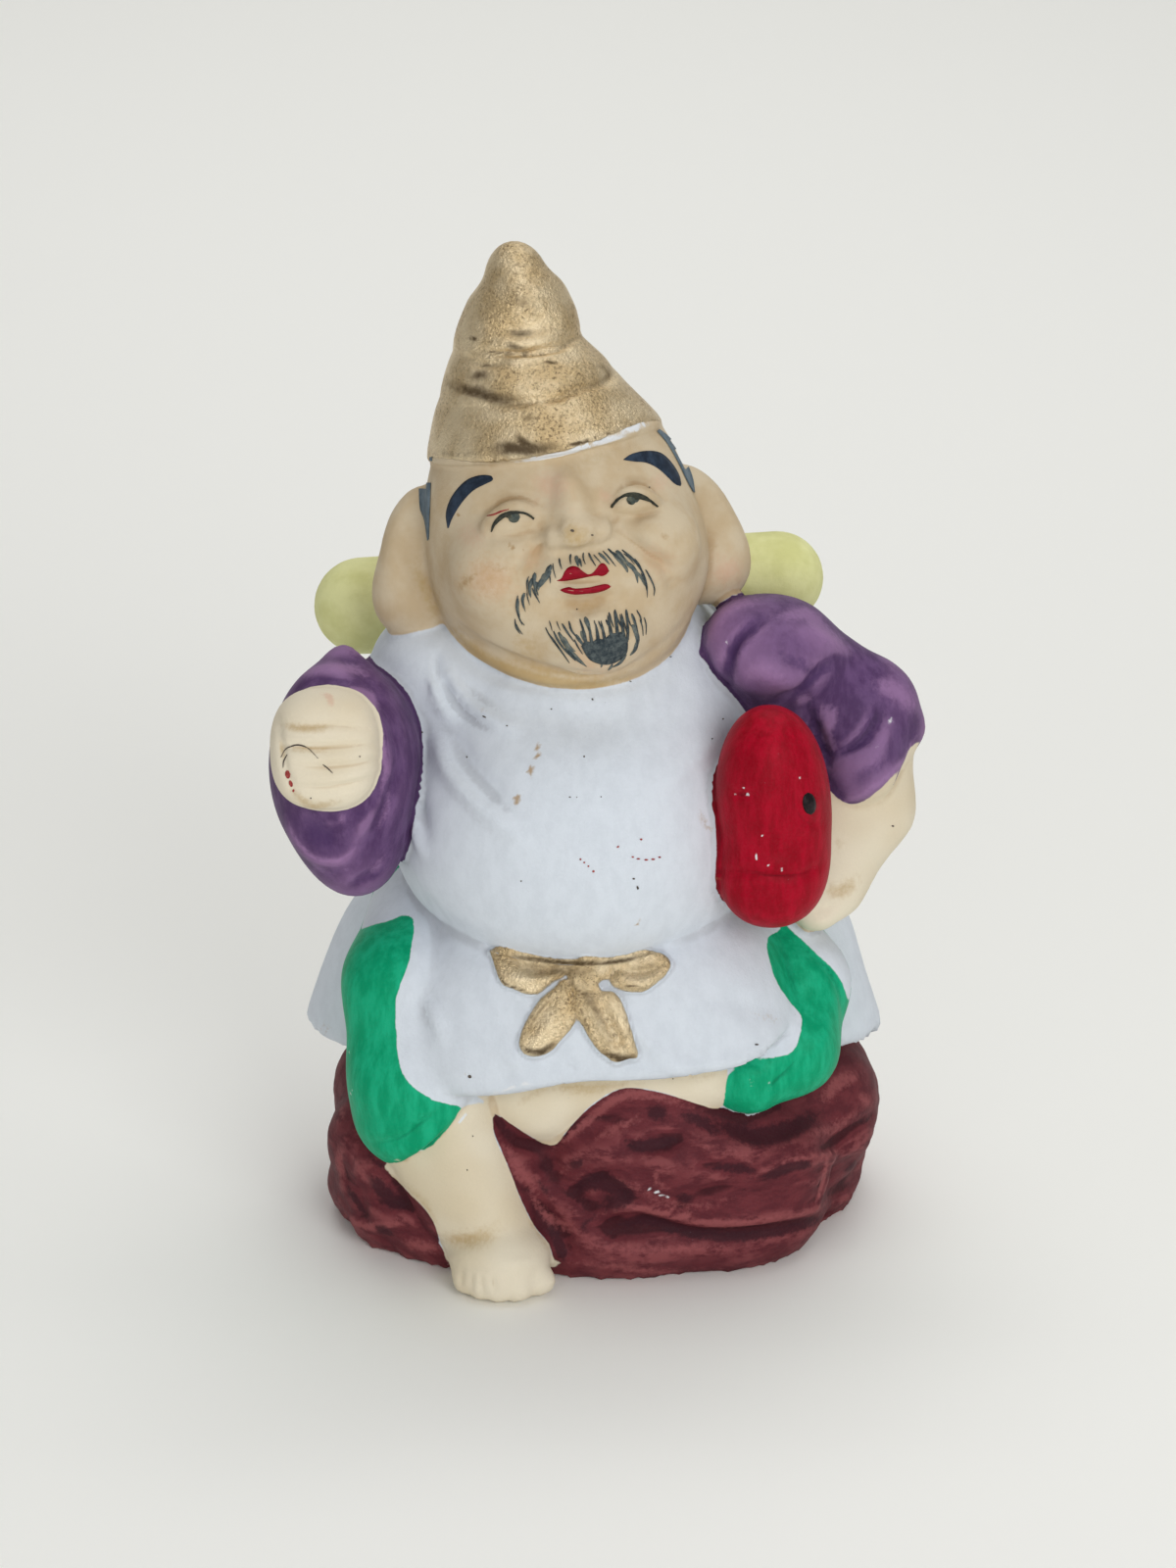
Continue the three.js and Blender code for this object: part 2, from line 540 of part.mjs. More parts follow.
const doll = blend(
  SEAM_SOFTNESS,
  rock(),
  hips(),
  lapPanel(),
  skirtFlaps(),
  robe(),
  trousers(),
  bareLegs(),
  raisedSleeve(),
  loweredSleeve(),
  forearm(),
  fist(),
  fish(),
  shoulderRoll(),
  onHead(ears()),
  onHead(face()),
  onHead(cap()),
  sashBow(),
);

const backStarts = -4; // y behind which the facets get plainer
const headStarts = 56; // z above which they get finer
const spacings = [
  () => SIDE_CELL,
  (y) => (y < backStarts ? DETAIL_CELL : PLAIN_CELL),
  (z) => (z > headStarts ? DETAIL_CELL : BODY_CELL),
];
const room = [[-33, 37], [-29, 28], [-6, 104]]; // x, y and z that hold the whole figure
const lines = room.map(([from, to], axis) => gridLines(from, to, spacings[axis]));
const skin = await standOnTable(skinOver(doll, lines));

const paintedClay = new THREE.MeshStandardMaterial({ color: 0xdde1e8, roughness: 0.7, metalness: 0 });
const figure = new THREE.Mesh(centred(skin.scale(LAYOUT_UNIT, LAYOUT_UNIT, LAYOUT_UNIT)), paintedClay);
figure.name = "ebisu_doll";

const part = new THREE.Group();
part.add(figure);

export default part;
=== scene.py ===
from math import pi, radians, sin, tan

import bmesh
import bpy
import numpy as np
from mathutils import Euler, Matrix, Vector
from mathutils.bvhtree import BVHTree


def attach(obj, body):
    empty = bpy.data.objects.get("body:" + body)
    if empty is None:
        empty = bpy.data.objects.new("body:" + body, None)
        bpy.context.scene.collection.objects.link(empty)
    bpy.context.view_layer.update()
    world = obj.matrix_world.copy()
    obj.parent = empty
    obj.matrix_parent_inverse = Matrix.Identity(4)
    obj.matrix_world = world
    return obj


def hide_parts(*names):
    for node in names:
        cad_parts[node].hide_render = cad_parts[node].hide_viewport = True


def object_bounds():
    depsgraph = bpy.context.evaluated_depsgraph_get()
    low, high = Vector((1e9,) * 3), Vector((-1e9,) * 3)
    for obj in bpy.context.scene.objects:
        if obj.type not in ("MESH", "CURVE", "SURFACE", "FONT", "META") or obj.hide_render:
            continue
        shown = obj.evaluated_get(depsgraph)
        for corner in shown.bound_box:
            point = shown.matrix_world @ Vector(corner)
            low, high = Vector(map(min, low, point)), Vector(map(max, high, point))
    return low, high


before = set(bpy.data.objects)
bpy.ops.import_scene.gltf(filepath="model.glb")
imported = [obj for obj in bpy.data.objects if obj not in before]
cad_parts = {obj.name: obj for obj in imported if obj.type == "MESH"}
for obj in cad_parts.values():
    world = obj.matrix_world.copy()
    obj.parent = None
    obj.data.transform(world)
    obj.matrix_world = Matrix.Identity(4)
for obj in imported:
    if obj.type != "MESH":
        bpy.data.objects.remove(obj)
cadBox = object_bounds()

mm = 0.001
rng = np.random.default_rng(12)
scene = bpy.context.scene

# The sculpt is laid out in mm around its own middle; the frame's origin is under the box's middle.
layout = {
    "middle": (1.515, -1.034),  # x and y of the box's middle in the sculpt's own layout
    "seam": 0.8,  # how far neighbouring parts melt into each other
    "voxel": 0.59,  # facet size of the sculpted skin
    "far": 9.0,  # a depth that means too far away to matter
}
photo = {"width": 1200, "height": 1600, "elevation": 22.0, "focal": 3764.0, "distance": 356.8, "aim": 45.55}
perMm = photo["focal"] / photo["distance"]  # photograph pixels in a mm at the doll


def colour(red, green, blue, alpha=1.0):  # from 0 to 255 as a picture shows it
    straight = [c / 255 for c in (red, green, blue)]
    return [c / 12.92 if c <= 0.04045 else ((c + 0.055) / 1.055) ** 2.4 for c in straight] + [alpha]


# A volume gives the depth of points: under 0 inside, 0 on the surface. It knows the box it fills.
def boxed(depth, low, high):
    depth.low, depth.high = np.array(low, float), np.array(high, float)
    return depth


def egg(at, radii, tilt=(0, 0, 0), roundness=2):
    middle, r = np.array(at, float), np.array(radii, float)
    turn = np.array(Euler([radians(a) for a in tilt], "XYZ").to_matrix())

    def depth(p):
        q = np.abs((p - middle) @ turn) / r
        if roundness == 2:
            reach = np.sqrt((q * q).sum(1)) + 1e-9
            return (reach - 1) * reach / (np.sqrt(((q / r) ** 2).sum(1)) + 1e-9)
        reach = (q ** roundness).sum(1) ** (1 / roundness) + 1e-9
        rate = reach ** (1 - roundness) * np.sqrt(((q ** (roundness - 1) / r) ** 2).sum(1))
        return (reach - 1) / (rate + 1e-9)

    return boxed(depth, middle - max(radii), middle + max(radii))


def limb(start, end, startRadius, endRadius):
    a, b = np.array(start, float), np.array(end, float)
    along = b - a

    def depth(p):
        t = np.clip((p - a) @ along / (along @ along), 0, 1)
        return np.linalg.norm(p - a - t[:, None] * along, axis=1) - startRadius - (endRadius - startRadius) * t

    widest = max(startRadius, endRadius)
    return boxed(depth, np.minimum(a, b) - widest, np.maximum(a, b) + widest)


def softMin(a, b, softness):
    overlap = np.maximum(softness - np.abs(a - b), 0) / softness
    return np.minimum(a, b) - overlap * overlap * softness / 4


def softMax(a, b, softness):
    return -softMin(-a, -b, softness)


def nearDepth(volume, p, reach):
    close = np.all((p > volume.low - reach) & (p < volume.high + reach), axis=1)
    found = np.full(len(p), layout["far"])
    if close.any():
        found[close] = volume(p[close])
    return found


def blend(softness, *volumes):
    def depth(p):
        nearest = np.full(len(p), layout["far"])
        for volume in volumes:
            nearest = softMin(nearest, nearDepth(volume, p, softness + 2), softness)
        return nearest

    lows, highs = [v.low for v in volumes], [v.high for v in volumes]
    return boxed(depth, np.min(lows, 0), np.max(highs, 0))


def trim(volume, side, softness):  # keeps the part where side is negative
    return boxed(lambda p: softMax(volume(p), side(p), softness), volume.low, volume.high)


def smoothPath(points, pieces):
    p = np.array(points, float)
    padded = np.vstack([2 * p[0] - p[1], p, 2 * p[-1] - p[-2]])
    t = np.linspace(0, len(p) - 1, pieces + 1)
    i = np.minimum(t.astype(int), len(p) - 2)
    u = (t - i)[:, None]
    a, b, c, d = (padded[i + k] for k in range(4))
    return b + 0.5 * u * (c - a + u * (2 * a - 5 * b + 4 * c - d + u * (3 * (b - c) + d - a)))


def pathReach(p, points, far=9.0):  # distance to a path, and how far along it the nearest place is
    nearest, place = np.full(len(p), far), np.zeros(len(p))
    for i, (a, b) in enumerate(zip(points[:-1], points[1:])):
        t = np.clip((p - a) @ (b - a) / ((b - a) @ (b - a) + 1e-12), 0, 1)
        distance = np.linalg.norm(p - a - t[:, None] * (b - a), axis=1)
        closer = distance < nearest
        nearest[closer], place[closer] = distance[closer], ((i + t) / (len(points) - 1))[closer]
    return nearest, place


def fold(volume, path, width, height, pieces=8):  # a soft ridge, or a groove with a negative height
    points = smoothPath(path, pieces)
    low, high = points.min(0) - 3 * width, points.max(0) + 3 * width

    def depth(p):
        raised = volume(p)
        close = np.all((p > low) & (p < high), axis=1)
        if close.any():
            distance, place = pathReach(p[close], points)
            fade = np.sqrt(np.sin(pi * np.clip(place, 0.01, 0.99)))
            raised[close] -= height * fade * np.exp(-(distance / width) ** 2)
        return raised

    return boxed(depth, volume.low, volume.high)


def folded(volume, lines):
    for path, width, height in lines:
        volume = fold(volume, path, width, height)
    return volume


def mirrored(point):
    return (-point[0],) + tuple(point[1:])


def stationValue(stations, at):  # a value that runs smoothly through [place, value] stations
    places, values = np.array(stations, float).T
    slopes = np.gradient(values, places)
    i = np.clip(np.searchsorted(places, at) - 1, 0, len(places) - 2)
    width = places[i + 1] - places[i]
    t = np.clip((at - places[i]) / width, 0, 1)
    rise = values[i + 1] - values[i]
    first, last = slopes[i] * width, slopes[i + 1] * width
    return values[i] + t * (first + t * (3 * rise - 2 * first - last + t * (first + last - 2 * rise)))


# HEAD
head = {"at": (-1.7, -3.0, 71.0), "nod": -8, "lean": -8.4, "turn": 6}
headTurn = np.array(Euler((radians(head["nod"]), radians(head["lean"]), radians(head["turn"])), "XZY").to_matrix())


def toHead(p):
    return (p - np.array(head["at"])) @ headTurn


def onHead(volume, reach=34):
    at = np.array(head["at"])
    return boxed(lambda p: volume(toHead(p)), at - reach, at + reach)


face = {
    "skull": ((-0.6, 0.8, 2.0), (12.5, 11.4, 15.0)),
    "jowls": ((-0.2, -0.9, -2.3), (12.5, 11.0, 10.1)),
    "underChin": ((0.4, -4.0, -7.6), (7.6, 6.4, 5.2)),
    "cheek": ((6.6, -7.6, 0.0), (4.7, 4.1, 3.9)),
    "socket": [(3.0, -11.2, 6.2), (5.6, -10.4, 6.6), (8.6, -8.4, 5.6)],
    "eyeball": ((5.4, -9.3, 4.5), (2.7, 1.5, 1.5)),
    "lid": [(3.4, -11.2, 4.5), (5.4, -10.9, 5.0), (7.6, -9.6, 4.4)],
    "pouch": [(3.6, -11.3, 3.2), (5.6, -10.9, 2.9), (7.8, -9.6, 3.1)],
    "bridge": ((0.1, -10.7, 5.4), (1.5, 1.6, 2.6), (-14, 0, 0)),
    "noseTip": ((0.1, -12.3, 3.0), (1.9, 1.5, 1.4)),
    "nostril": ((2.3, -11.4, 2.7), (1.35, 1.3, 1.05)),
    "muzzle": ((0.2, -10.0, -0.9), (3.3, 2.4, 2.3)),
    "smile": [(2.7, -12.2, 2.0), (4.7, -11.5, -0.4), (5.6, -10.6, -3.2)],
    "mouth": [(-2.3, -11.9, -1.1), (0.2, -12.6, -1.0), (2.7, -11.9, -1.1)],
    "underLip": [(-1.9, -11.4, -3.4), (0.2, -11.9, -3.7), (2.3, -11.4, -3.4)],
    "chin": ((0.4, -9.2, -7.3), (3.8, 2.9, 3.0)),
    "jawLine": [(-12.2, -2.2, -4.6), (-9.6, -6.4, -7.9), (-5.0, -9.0, -9.9), (0.4, -9.6, -10.6), (5.6, -8.6, -9.9), (10.0, -5.2, -7.2)],
}


def faceVolume():
    f = face
    cheeks = [egg(f["cheek"][0], f["cheek"][1]), egg(mirrored(f["cheek"][0]), f["cheek"][1])]
    eyes = [egg(f["eyeball"][0], f["eyeball"][1]), egg(mirrored(f["eyeball"][0]), f["eyeball"][1])]
    nostrils = [egg(f["nostril"][0], f["nostril"][1]), egg(mirrored(f["nostril"][0]), f["nostril"][1])]
    skin = blend(2.5, blend(3, egg(*f["skull"]), egg(*f["jowls"]), egg(*f["underChin"])), *cheeks)
    for side in (list, lambda path: [mirrored(point) for point in path]):
        skin = fold(skin, side(f["socket"]), 1.5, -0.55)
    skin = blend(0.9, skin, *eyes)
    for side in (list, lambda path: [mirrored(point) for point in path]):
        skin = fold(skin, side(f["lid"]), 0.4, 0.16)
        skin = fold(skin, side(f["pouch"]), 0.6, -0.18)
    skin = blend(1.9, skin, egg(*f["bridge"]))
    skin = blend(0.9, skin, egg(*f["noseTip"]))
    skin = blend(0.9, skin, *nostrils)
    skin = blend(1.8, skin, egg(*f["muzzle"]))
    for side in (list, lambda path: [mirrored(point) for point in path]):
        skin = fold(skin, side(f["smile"]), 0.9, -0.4)
    skin = fold(skin, f["mouth"], 0.45, -0.28)
    skin = fold(skin, f["underLip"], 0.8, -0.35)
    skin = blend(2.4, skin, egg(*f["chin"]))
    return fold(skin, f["jawLine"], 0.7, -0.3)


def earVolume():
    right = blend(2, egg((-14.3, 3.0, 2.2), (2.9, 2.8, 5.4), (0, 24, 0)), egg((-14.8, 2.2, -2.8), (4.3, 3.1, 4.3)))
    left = blend(2, egg((12.9, 3.2, 0.6), (2.6, 2.8, 4.8), (0, -26, 0)), egg((12.9, 2.2, -4.4), (3.9, 3.1, 4.1)))
    right = fold(right, [(-13.4, 0.2, 6.2), (-15.6, -0.3, 2.0), (-15.4, -1.1, -1.6)], 1.0, -0.7)
    left = fold(left, [(12.2, 0.2, 3.6), (14.2, -0.3, 0.2), (13.8, -1.1, -3.2)], 1.0, -0.7)
    return blend(0.5, right, left)


cap = {
    "brim": 9.9,
    "knobTop": 25.1,
    "middles": [(8, -0.6), (10.5, -0.9), (13.5, -1.4), (16.3, -1.6), (18.7, -1.9), (21.5, -1.5), (24.6, -1.0)],
    "radii": [(8, 11.5), (9.9, 11.1), (12.5, 9.8), (14.8, 8.6), (16.9, 7.5), (18.7, 6.4), (21.5, 5.6), (25.2, 3.9)],
    "wraps": [(18.9, 0.4, 0.4), (14.6, 0.9, 0.25)],  # height, rise behind, depth
    "tip": ((-0.9, -0.1, 24.3), (3.1, 3.4, 4.3)),
}


def capVolume():
    def crown(p):
        x, y, z = p[:, 0] - stationValue(cap["middles"], p[:, 2]), (p[:, 1] - 0.1) / 0.97, p[:, 2]
        away = np.hypot(x, y) + 1e-9
        front = -y / away
        found = (away - stationValue(cap["radii"], z)) * 0.9
        for level, rise, cut in cap["wraps"]:
            wave = 0.25 * np.sin(3 * np.arctan2(x, -y) + level)
            found += cut * (0.4 + 0.6 * np.maximum(front, 0)) * np.exp(-((z - level - wave - rise * (1 - front)) / 0.55) ** 2)
        return found

    crown = boxed(crown, (-14, -12, 6), (12, 12, 28))
    topped = trim(crown, lambda p: p[:, 2] - cap["knobTop"], 1.5)
    return trim(blend(1.2, topped, egg(*cap["tip"])), lambda p: cap["brim"] - p[:, 2], 0.6)


# ROBE
robe = {
    "hem": [(-17, 21.6), (-13, 20.7), (-8, 21.8), (-2.5, 23.4), (7.7, 24.0), (15.9, 25.0), (19.5, 26.6)],
    "lapSlope": 0.35,  # how far the lap leans back as it rises
    "flapMiddle": (1.0, 4.5),
    "flapHem": 18.2,
    "flapWidth": 29.1,
    "flapDepth": 13.0,
    "flare": 0.33,
    "flutes": 9,
}


def robeVolume():
    belly = egg((-0.8, -4.5, 44.6), (18.3, 16.7, 15.6))
    chest = egg((-1.0, -1.0, 56.0), (16.0, 11.8, 9.5))
    shoulder = egg((-14.5, -2.0, 58.3), (6.2, 7.0, 5.6))
    collar = egg((-1.0, 0.0, 62.0), (11.0, 9.0, 6.0))
    back = egg((0.0, 5.5, 47.0), (18.5, 11.5, 18.0))
    return blend(4, belly, chest, shoulder, collar, back)


def lapVolume():
    panel = egg((0, 0, 0), (17.4, 13.6, 10.0), (3, 0, 0), 3)
    middle = np.array((0.9, -6.4, 29.5))

    def widening(p):
        q = p - middle
        q[:, 1] -= robe["lapSlope"] * q[:, 2]
        q[:, 0] /= 1 + 0.02 * (4 - q[:, 2])
        return panel(q)

    wide = boxed(widening, middle - (22, 18, 11), middle + (22, 18, 11))
    return trim(wide, lambda p: stationValue(robe["hem"], p[:, 0]) - p[:, 2], 0.8)


def flapVolume():
    def cone(p):
        x, y, z = p[:, 0] - robe["flapMiddle"][0], p[:, 1] - robe["flapMiddle"][1], p[:, 2]
        rise = z - robe["flapHem"]
        depth = robe["flapDepth"] - 0.05 * rise
        reach = np.hypot(x / (robe["flapWidth"] - robe["flare"] * rise), y / depth)
        slack = np.clip((36 - z) / 12, 0, 1)
        return (reach - 1) * depth * 1.3 + 0.35 * slack * np.sin(robe["flutes"] * np.arctan2(x, y) + 0.5)

    cone = boxed(cone, (-30, -12, 16), (32, 20, 42))
    rounded = trim(cone, egg((*robe["flapMiddle"], 20.0), (31.8, 15.5, 20.0)), 3)
    return trim(rounded, lambda p: robe["flapHem"] + 0.4 * np.sin(p[:, 0] * 0.35) - p[:, 2], 0.8)


# ARMS
def raisedSleeveVolume():
    opening = egg((-22.7, -12.8, 52.5), (6.9, 8.0, 10.3))
    droop = egg((-21.8, -12.3, 45.2), (4.5, 5.6, 5.6))
    upperArm = limb((-19.6, -4.0, 55.5), (-21.8, -9.0, 54.0), 4.3, 5.7)
    peak = limb((-22.4, -10.5, 58.0), (-22.7, -9.4, 61.9), 2.8, 1.1)
    return blend(2.5, opening, droop, upperArm, peak)


def fistVolume():
    return egg((-23.9, -19.0, 56.7), (4.95, 4.7, 5.4), (0, 0, 0), 2.6)


def loweredSleeveVolume():
    puff = egg((17.0, -5.0, 61.4), (6.3, 6.6, 4.6), (0, 14, 0))
    upperArm = limb((18.5, -2.0, 58.6), (26.2, -1.5, 54.2), 5.8, 4.7)
    corner = limb((26.2, -1.5, 54.2), (30.2, -1.5, 51.9), 4.4, 1.9)
    cuff = limb((26.8, -1.5, 53.4), (25.6, -5.5, 50.0), 4.4, 4.0)
    return blend(2.5, puff, blend(1, upperArm, corner), cuff)


def forearmVolume():
    elbow = limb((27.0, -1.0, 50.5), (27.0, -2.0, 44.0), 4.3, 4.1)
    lower = limb((27.0, -2.0, 44.0), (23.2, -5.0, 37.0), 4.1, 3.0)
    wrist = limb((23.2, -5.0, 37.0), (21.7, -6.9, 35.4), 3.0, 2.1)
    inside = egg((22.5, -3.0, 44.0), (6.0, 5.5, 9.0))  # clay that fills the gap to the body
    return blend(2, elbow, lower, wrist, inside)


def fishVolume():
    body = egg((17.2, -14.9, 49.3), (5.35, 5.4, 10.3), (8, -5, 0), 2.15)
    return blend(2.5, body, egg((17.0, -15.5, 42.6), (4.8, 4.7, 4.8), (0, 0, 0), 2.1))


# LEGS
legs = {
    "toes": [(-11.9, -18.6, 1.15), (-10.3, -19.6, 1.25), (-8.6, -20.1, 1.35), (-6.7, -20.0, 1.5), (-4.9, -18.9, 1.8)],
    "toeHeight": 1.6,
    "hem": np.array([-16.0, -18.2, 15.0]),  # a place on the cut edge of the trouser leg
    "hemFacing": np.array([0.7, 0.1, -0.71]),
}


def trouserVolume():
    thigh = limb((-14.0, 0.0, 32.5), (-17.0, -9.5, 28.8), 7.2, 6.3)
    calf = limb((-17.0, -9.5, 28.8), (-16.4, -12.2, 20.4), 6.4, 6.5)
    cuff = limb((-16.4, -12.2, 20.4), (-16.6, -12.4, 17.1), 6.5, 6.2)
    leg = trim(blend(1.5, thigh, calf, cuff), lambda p: (p - legs["hem"]) @ legs["hemFacing"], 0.4)
    otherThigh = limb((13.5, 0.0, 32.0), (19.8, -6.0, 27.0), 7.0, 5.4)
    knee = limb((19.8, -6.0, 27.0), (19.2, -10.8, 22.8), 5.4, 4.8)
    otherCuff = limb((19.2, -10.8, 22.8), (15.6, -13.6, 20.9), 4.7, 3.6)
    return blend(1.2, leg, blend(1.5, otherThigh, knee, otherCuff))


def bareLegVolume():
    shin = blend(1.5, limb((-13.6, -12.4, 17.5), (-10.0, -14.4, 7.0), 4.9, 4.3), limb((-16.4, -11.8, 15.0), (-12.3, -13.2, 7.2), 4.3, 4.3))
    foot = egg((-8.6, -16.4, 3.2), (5.0, 5.2, 3.5))
    heel = egg((-9.6, -14.0, 4.6), (4.6, 4.4, 4.6))
    toes = [egg((x, y, legs["toeHeight"]), (radius, 1.6, 1.5)) for x, y, radius in legs["toes"]]
    standing = blend(0.8, blend(1, shin, foot, heel), *toes)
    tucked = blend(1, limb((16.0, -12.6, 21.0), (-1.0, -12.6, 19.8), 3.4, 3.5), egg((-4.5, -12.4, 18.2), (5.6, 3.7, 4.3)))
    return blend(0.5, standing, tucked)


# ROCK
rock = {
    "lumps": [
        ((1.6, 3.0, 4.0), (26.9, 19.0, 13.5), (0, 0, 8), 2),
        ((9.0, -5.0, 8.0), (14.5, 11.8, 10.6), (0, 0, 4), 3),
        ((6.8, -12.4, 13.3), (9.6, 5.0, 7.0), (0, 0, 0), 2),
        ((-8.2, -10.2, 11.4), (5.0, 5.4, 7.2), (0, 0, 0), 2),
        ((0.0, 6.0, 12.0), (25.0, 14.0, 9.0), (0, 0, 0), 2),
        ((17.8, 2.5, 10.6), (11.6, 13.0, 8.6), (0, 0, 0), 2),
        ((-13.5, -0.8, 7.0), (12.2, 13.6, 10.5), (0, 0, 0), 2.4),
    ],
    "waves": [(0.24, 0.2, 0.42, 1.0), (-0.2, 0.3, 0.5, 2.6), (0.13, -0.34, 0.22, 4.1)],  # along x, y, z and start
    "ripples": [(0.7, 0.35, 1.3, 0.4), (-0.5, 0.6, 1.5, 2.0), (0.9, -0.7, 0.9, 5.0)],
    "ledges": [
        ([(1.5, -18.0, 18.0), (7.0, -18.0, 13.5), (24.0, -12.0, 8.0)], 0.9, 0.6),
        ([(2.0, -17.0, 6.5), (12.0, -17.5, 4.8), (27.0, -8.0, 8.0)], 0.9, -0.6),
    ],
}


def rockVolume():
    boulder = blend(2.5, *[egg(*lump) for lump in rock["lumps"]])

    def rough(p):
        swell = sum(np.sin(p @ np.array(wave[:3]) + wave[3]) for wave in rock["waves"])
        ripple = sum(np.sin(p @ np.array(wave[:3]) + wave[3] + swell) for wave in rock["ripples"])
        return boulder(p) - 0.28 * (np.abs(swell) - 0.8) - 0.07 * (np.abs(ripple) - 0.8)

    ledged = folded(boxed(rough, boulder.low, boulder.high), rock["ledges"])
    return trim(ledged, lambda p: -2.5 - p[:, 2], 0.1)


def rollVolume():
    return blend(2.5, limb((-21.9, 8.0, 61.0), (18.4, 9.5, 63.4), 4.7, 4.5), egg((-1.0, 10.5, 60.0), (13.0, 7.0, 7.0)))


volumes = {
    "rock": rockVolume(),
    "hips": egg((2.0, -6.5, 20.5), (15.5, 6.3, 7.5)),
    "lap": lapVolume(),
    "flaps": flapVolume(),
    "robe": robeVolume(),
    "trousers": trouserVolume(),
    "bareLegs": bareLegVolume(),
    "raisedSleeve": raisedSleeveVolume(),
    "loweredSleeve": loweredSleeveVolume(),
    "forearm": forearmVolume(),
    "fist": fistVolume(),
    "fish": fishVolume(),
    "roll": rollVolume(),
    "ears": onHead(earVolume()),
    "face": onHead(faceVolume()),
    "cap": onHead(capVolume()),
}


def depths(p):
    return {name: nearDepth(volume, p, 3) for name, volume in volumes.items()}


def sculptDepth(p):
    nearest = np.full(len(p), layout["far"])
    for found in depths(p).values():
        nearest = softMin(nearest, found, layout["seam"])
    return nearest


def slopeAt(p, depth, step=0.04):
    return np.stack([(sculptDepth(p + step * axis) - depth) / step for axis in np.eye(3)], 1)


def settle(p, rounds, fixed):
    slope = None
    for turn in range(rounds):
        depth = sculptDepth(p)
        if turn % 2 == 0:
            slope = slopeAt(p, depth)
        step = slope * (depth / np.maximum((slope ** 2).sum(1), 0.2))[:, None]
        length = np.linalg.norm(step, axis=1, keepdims=True)
        step *= np.minimum(1, 0.8 / np.maximum(length, 1e-9))
        step[fixed] = 0
        p = p - step
        p[:, 2] = np.maximum(p[:, 2], 0)
    return p


def toLayout(points):  # metres in the frame to mm in the layout
    return points / mm + np.array([*layout["middle"], 0])


def toFrame(points):
    return (points - np.array([*layout["middle"], 0])) * mm


def verticesOf(mesh):
    flat = np.empty(len(mesh.vertices) * 3, np.float32)
    mesh.vertices.foreach_get("co", flat)
    return flat.reshape(-1, 3).astype(float)


def setVertices(mesh, points):
    mesh.vertices.foreach_set("co", points.astype(np.float32).ravel())
    mesh.update()


def normalsOf(mesh):
    flat = np.empty(len(mesh.vertices) * 3, np.float32)
    mesh.vertex_normals.foreach_get("vector", flat)
    return flat.reshape(-1, 3).astype(float)


# CAMERA, at the photograph's place
lift = radians(photo["elevation"])
aim = Vector((-layout["middle"][0], -layout["middle"][1], photo["aim"])) * mm
forward = Vector((0, np.cos(lift), -np.sin(lift)))
sideways, upwards = Vector((1, 0, 0)), Vector((0, np.sin(lift), np.cos(lift)))
camera = bpy.data.objects.new("camera", bpy.data.cameras.new("camera"))
camera.location = aim - forward * photo["distance"] * mm
camera.rotation_euler = forward.to_track_quat("-Z", "Y").to_euler()
camera.data.sensor_fit = "VERTICAL"
camera.data.sensor_height = 36
camera.data.lens = 36 * photo["focal"] / photo["height"]
camera.data.clip_start = 0.01
scene.collection.objects.link(camera)
scene.camera = camera

# Lines were read off enlarged crops of the photograph: left edge, top edge and enlargement of each crop.
crops = {
    "whole": (0, 0, 1.0),
    "cap": (420, 235, 5.714),
    "face": (420, 440, 4.2105),
    "mouth": (500, 520, 8),
    "rightEye": (480, 500, 12),
    "leftEye": (610, 490, 12),
    "arm": (260, 640, 4.8276),
    "right": (700, 530, 3.111),
    "robe": (400, 650, 4.2424),
    "lap": (300, 900, 2.5806),
    "rock": (320, 1040, 2.6667),
}


def traced(crop, path):  # a line on a crop, in pixels of the photograph
    left, top, zoom = crops[crop]
    return np.array(path, float).reshape(-1, 2) / zoom + (left, top)


def picture(points):  # where places in the frame show in the photograph
    q = points - np.array(camera.location)
    away = q @ np.array(forward)
    x = photo["width"] / 2 + photo["focal"] * (q @ np.array(sideways)) / away
    y = photo["height"] / 2 - photo["focal"] * (q @ np.array(upwards)) / away
    return np.stack([x, y], 1)


def brushed(spots, crop, path, width, pieces=20):  # from 0 to 1 along a soft brush line, width in mm
    points = traced(crop, path)
    points = smoothPath(points, pieces) if len(points) > 1 else np.vstack([points, points + 0.5])
    reach = width * perMm
    value = np.zeros(len(spots))
    near = np.all((spots > points.min(0) - 2.6 * reach) & (spots < points.max(0) + 2.6 * reach), axis=1)
    if near.any():
        distance, place = pathReach(spots[near], points, 1e4)
        fade = np.sin(pi * np.clip(place, 0.04, 0.96)) ** 0.4 if len(points) > 2 else 1
        value[near] = fade * np.exp(-(distance / reach) ** 2)
    return value


def insideBy(spots, crop, outline, smooth=4):  # mm inside a closed outline, negative outside
    corners = traced(crop, outline)
    wrapped = np.vstack([corners[-2:], corners, corners[:3]])
    points = smoothPath(wrapped, (len(wrapped) - 1) * smooth)[2 * smooth:-2 * smooth]
    value = np.full(len(spots), -3.0)
    near = np.all((spots > points.min(0) - 32) & (spots < points.max(0) + 32), axis=1)
    q = spots[near]
    if len(q):
        distance = pathReach(q, points, 1e4)[0]
        crossings = np.zeros(len(q), int)
        for a, b in zip(points[:-1], points[1:]):
            spans = (a[1] > q[:, 1]) != (b[1] > q[:, 1])
            if spans.any():
                across = a[0] + (q[:, 1] - a[1]) * (b[0] - a[0]) / (b[1] - a[1] + 1e-12)
                crossings += spans & (q[:, 0] < across)
        value[near] = np.where(crossings % 2 == 1, distance, -distance) / perMm
    return value


def treeOf(mesh):
    return BVHTree.FromPolygons([Vector(p) for p in verticesOf(mesh)], [tuple(f.vertices) for f in mesh.polygons])


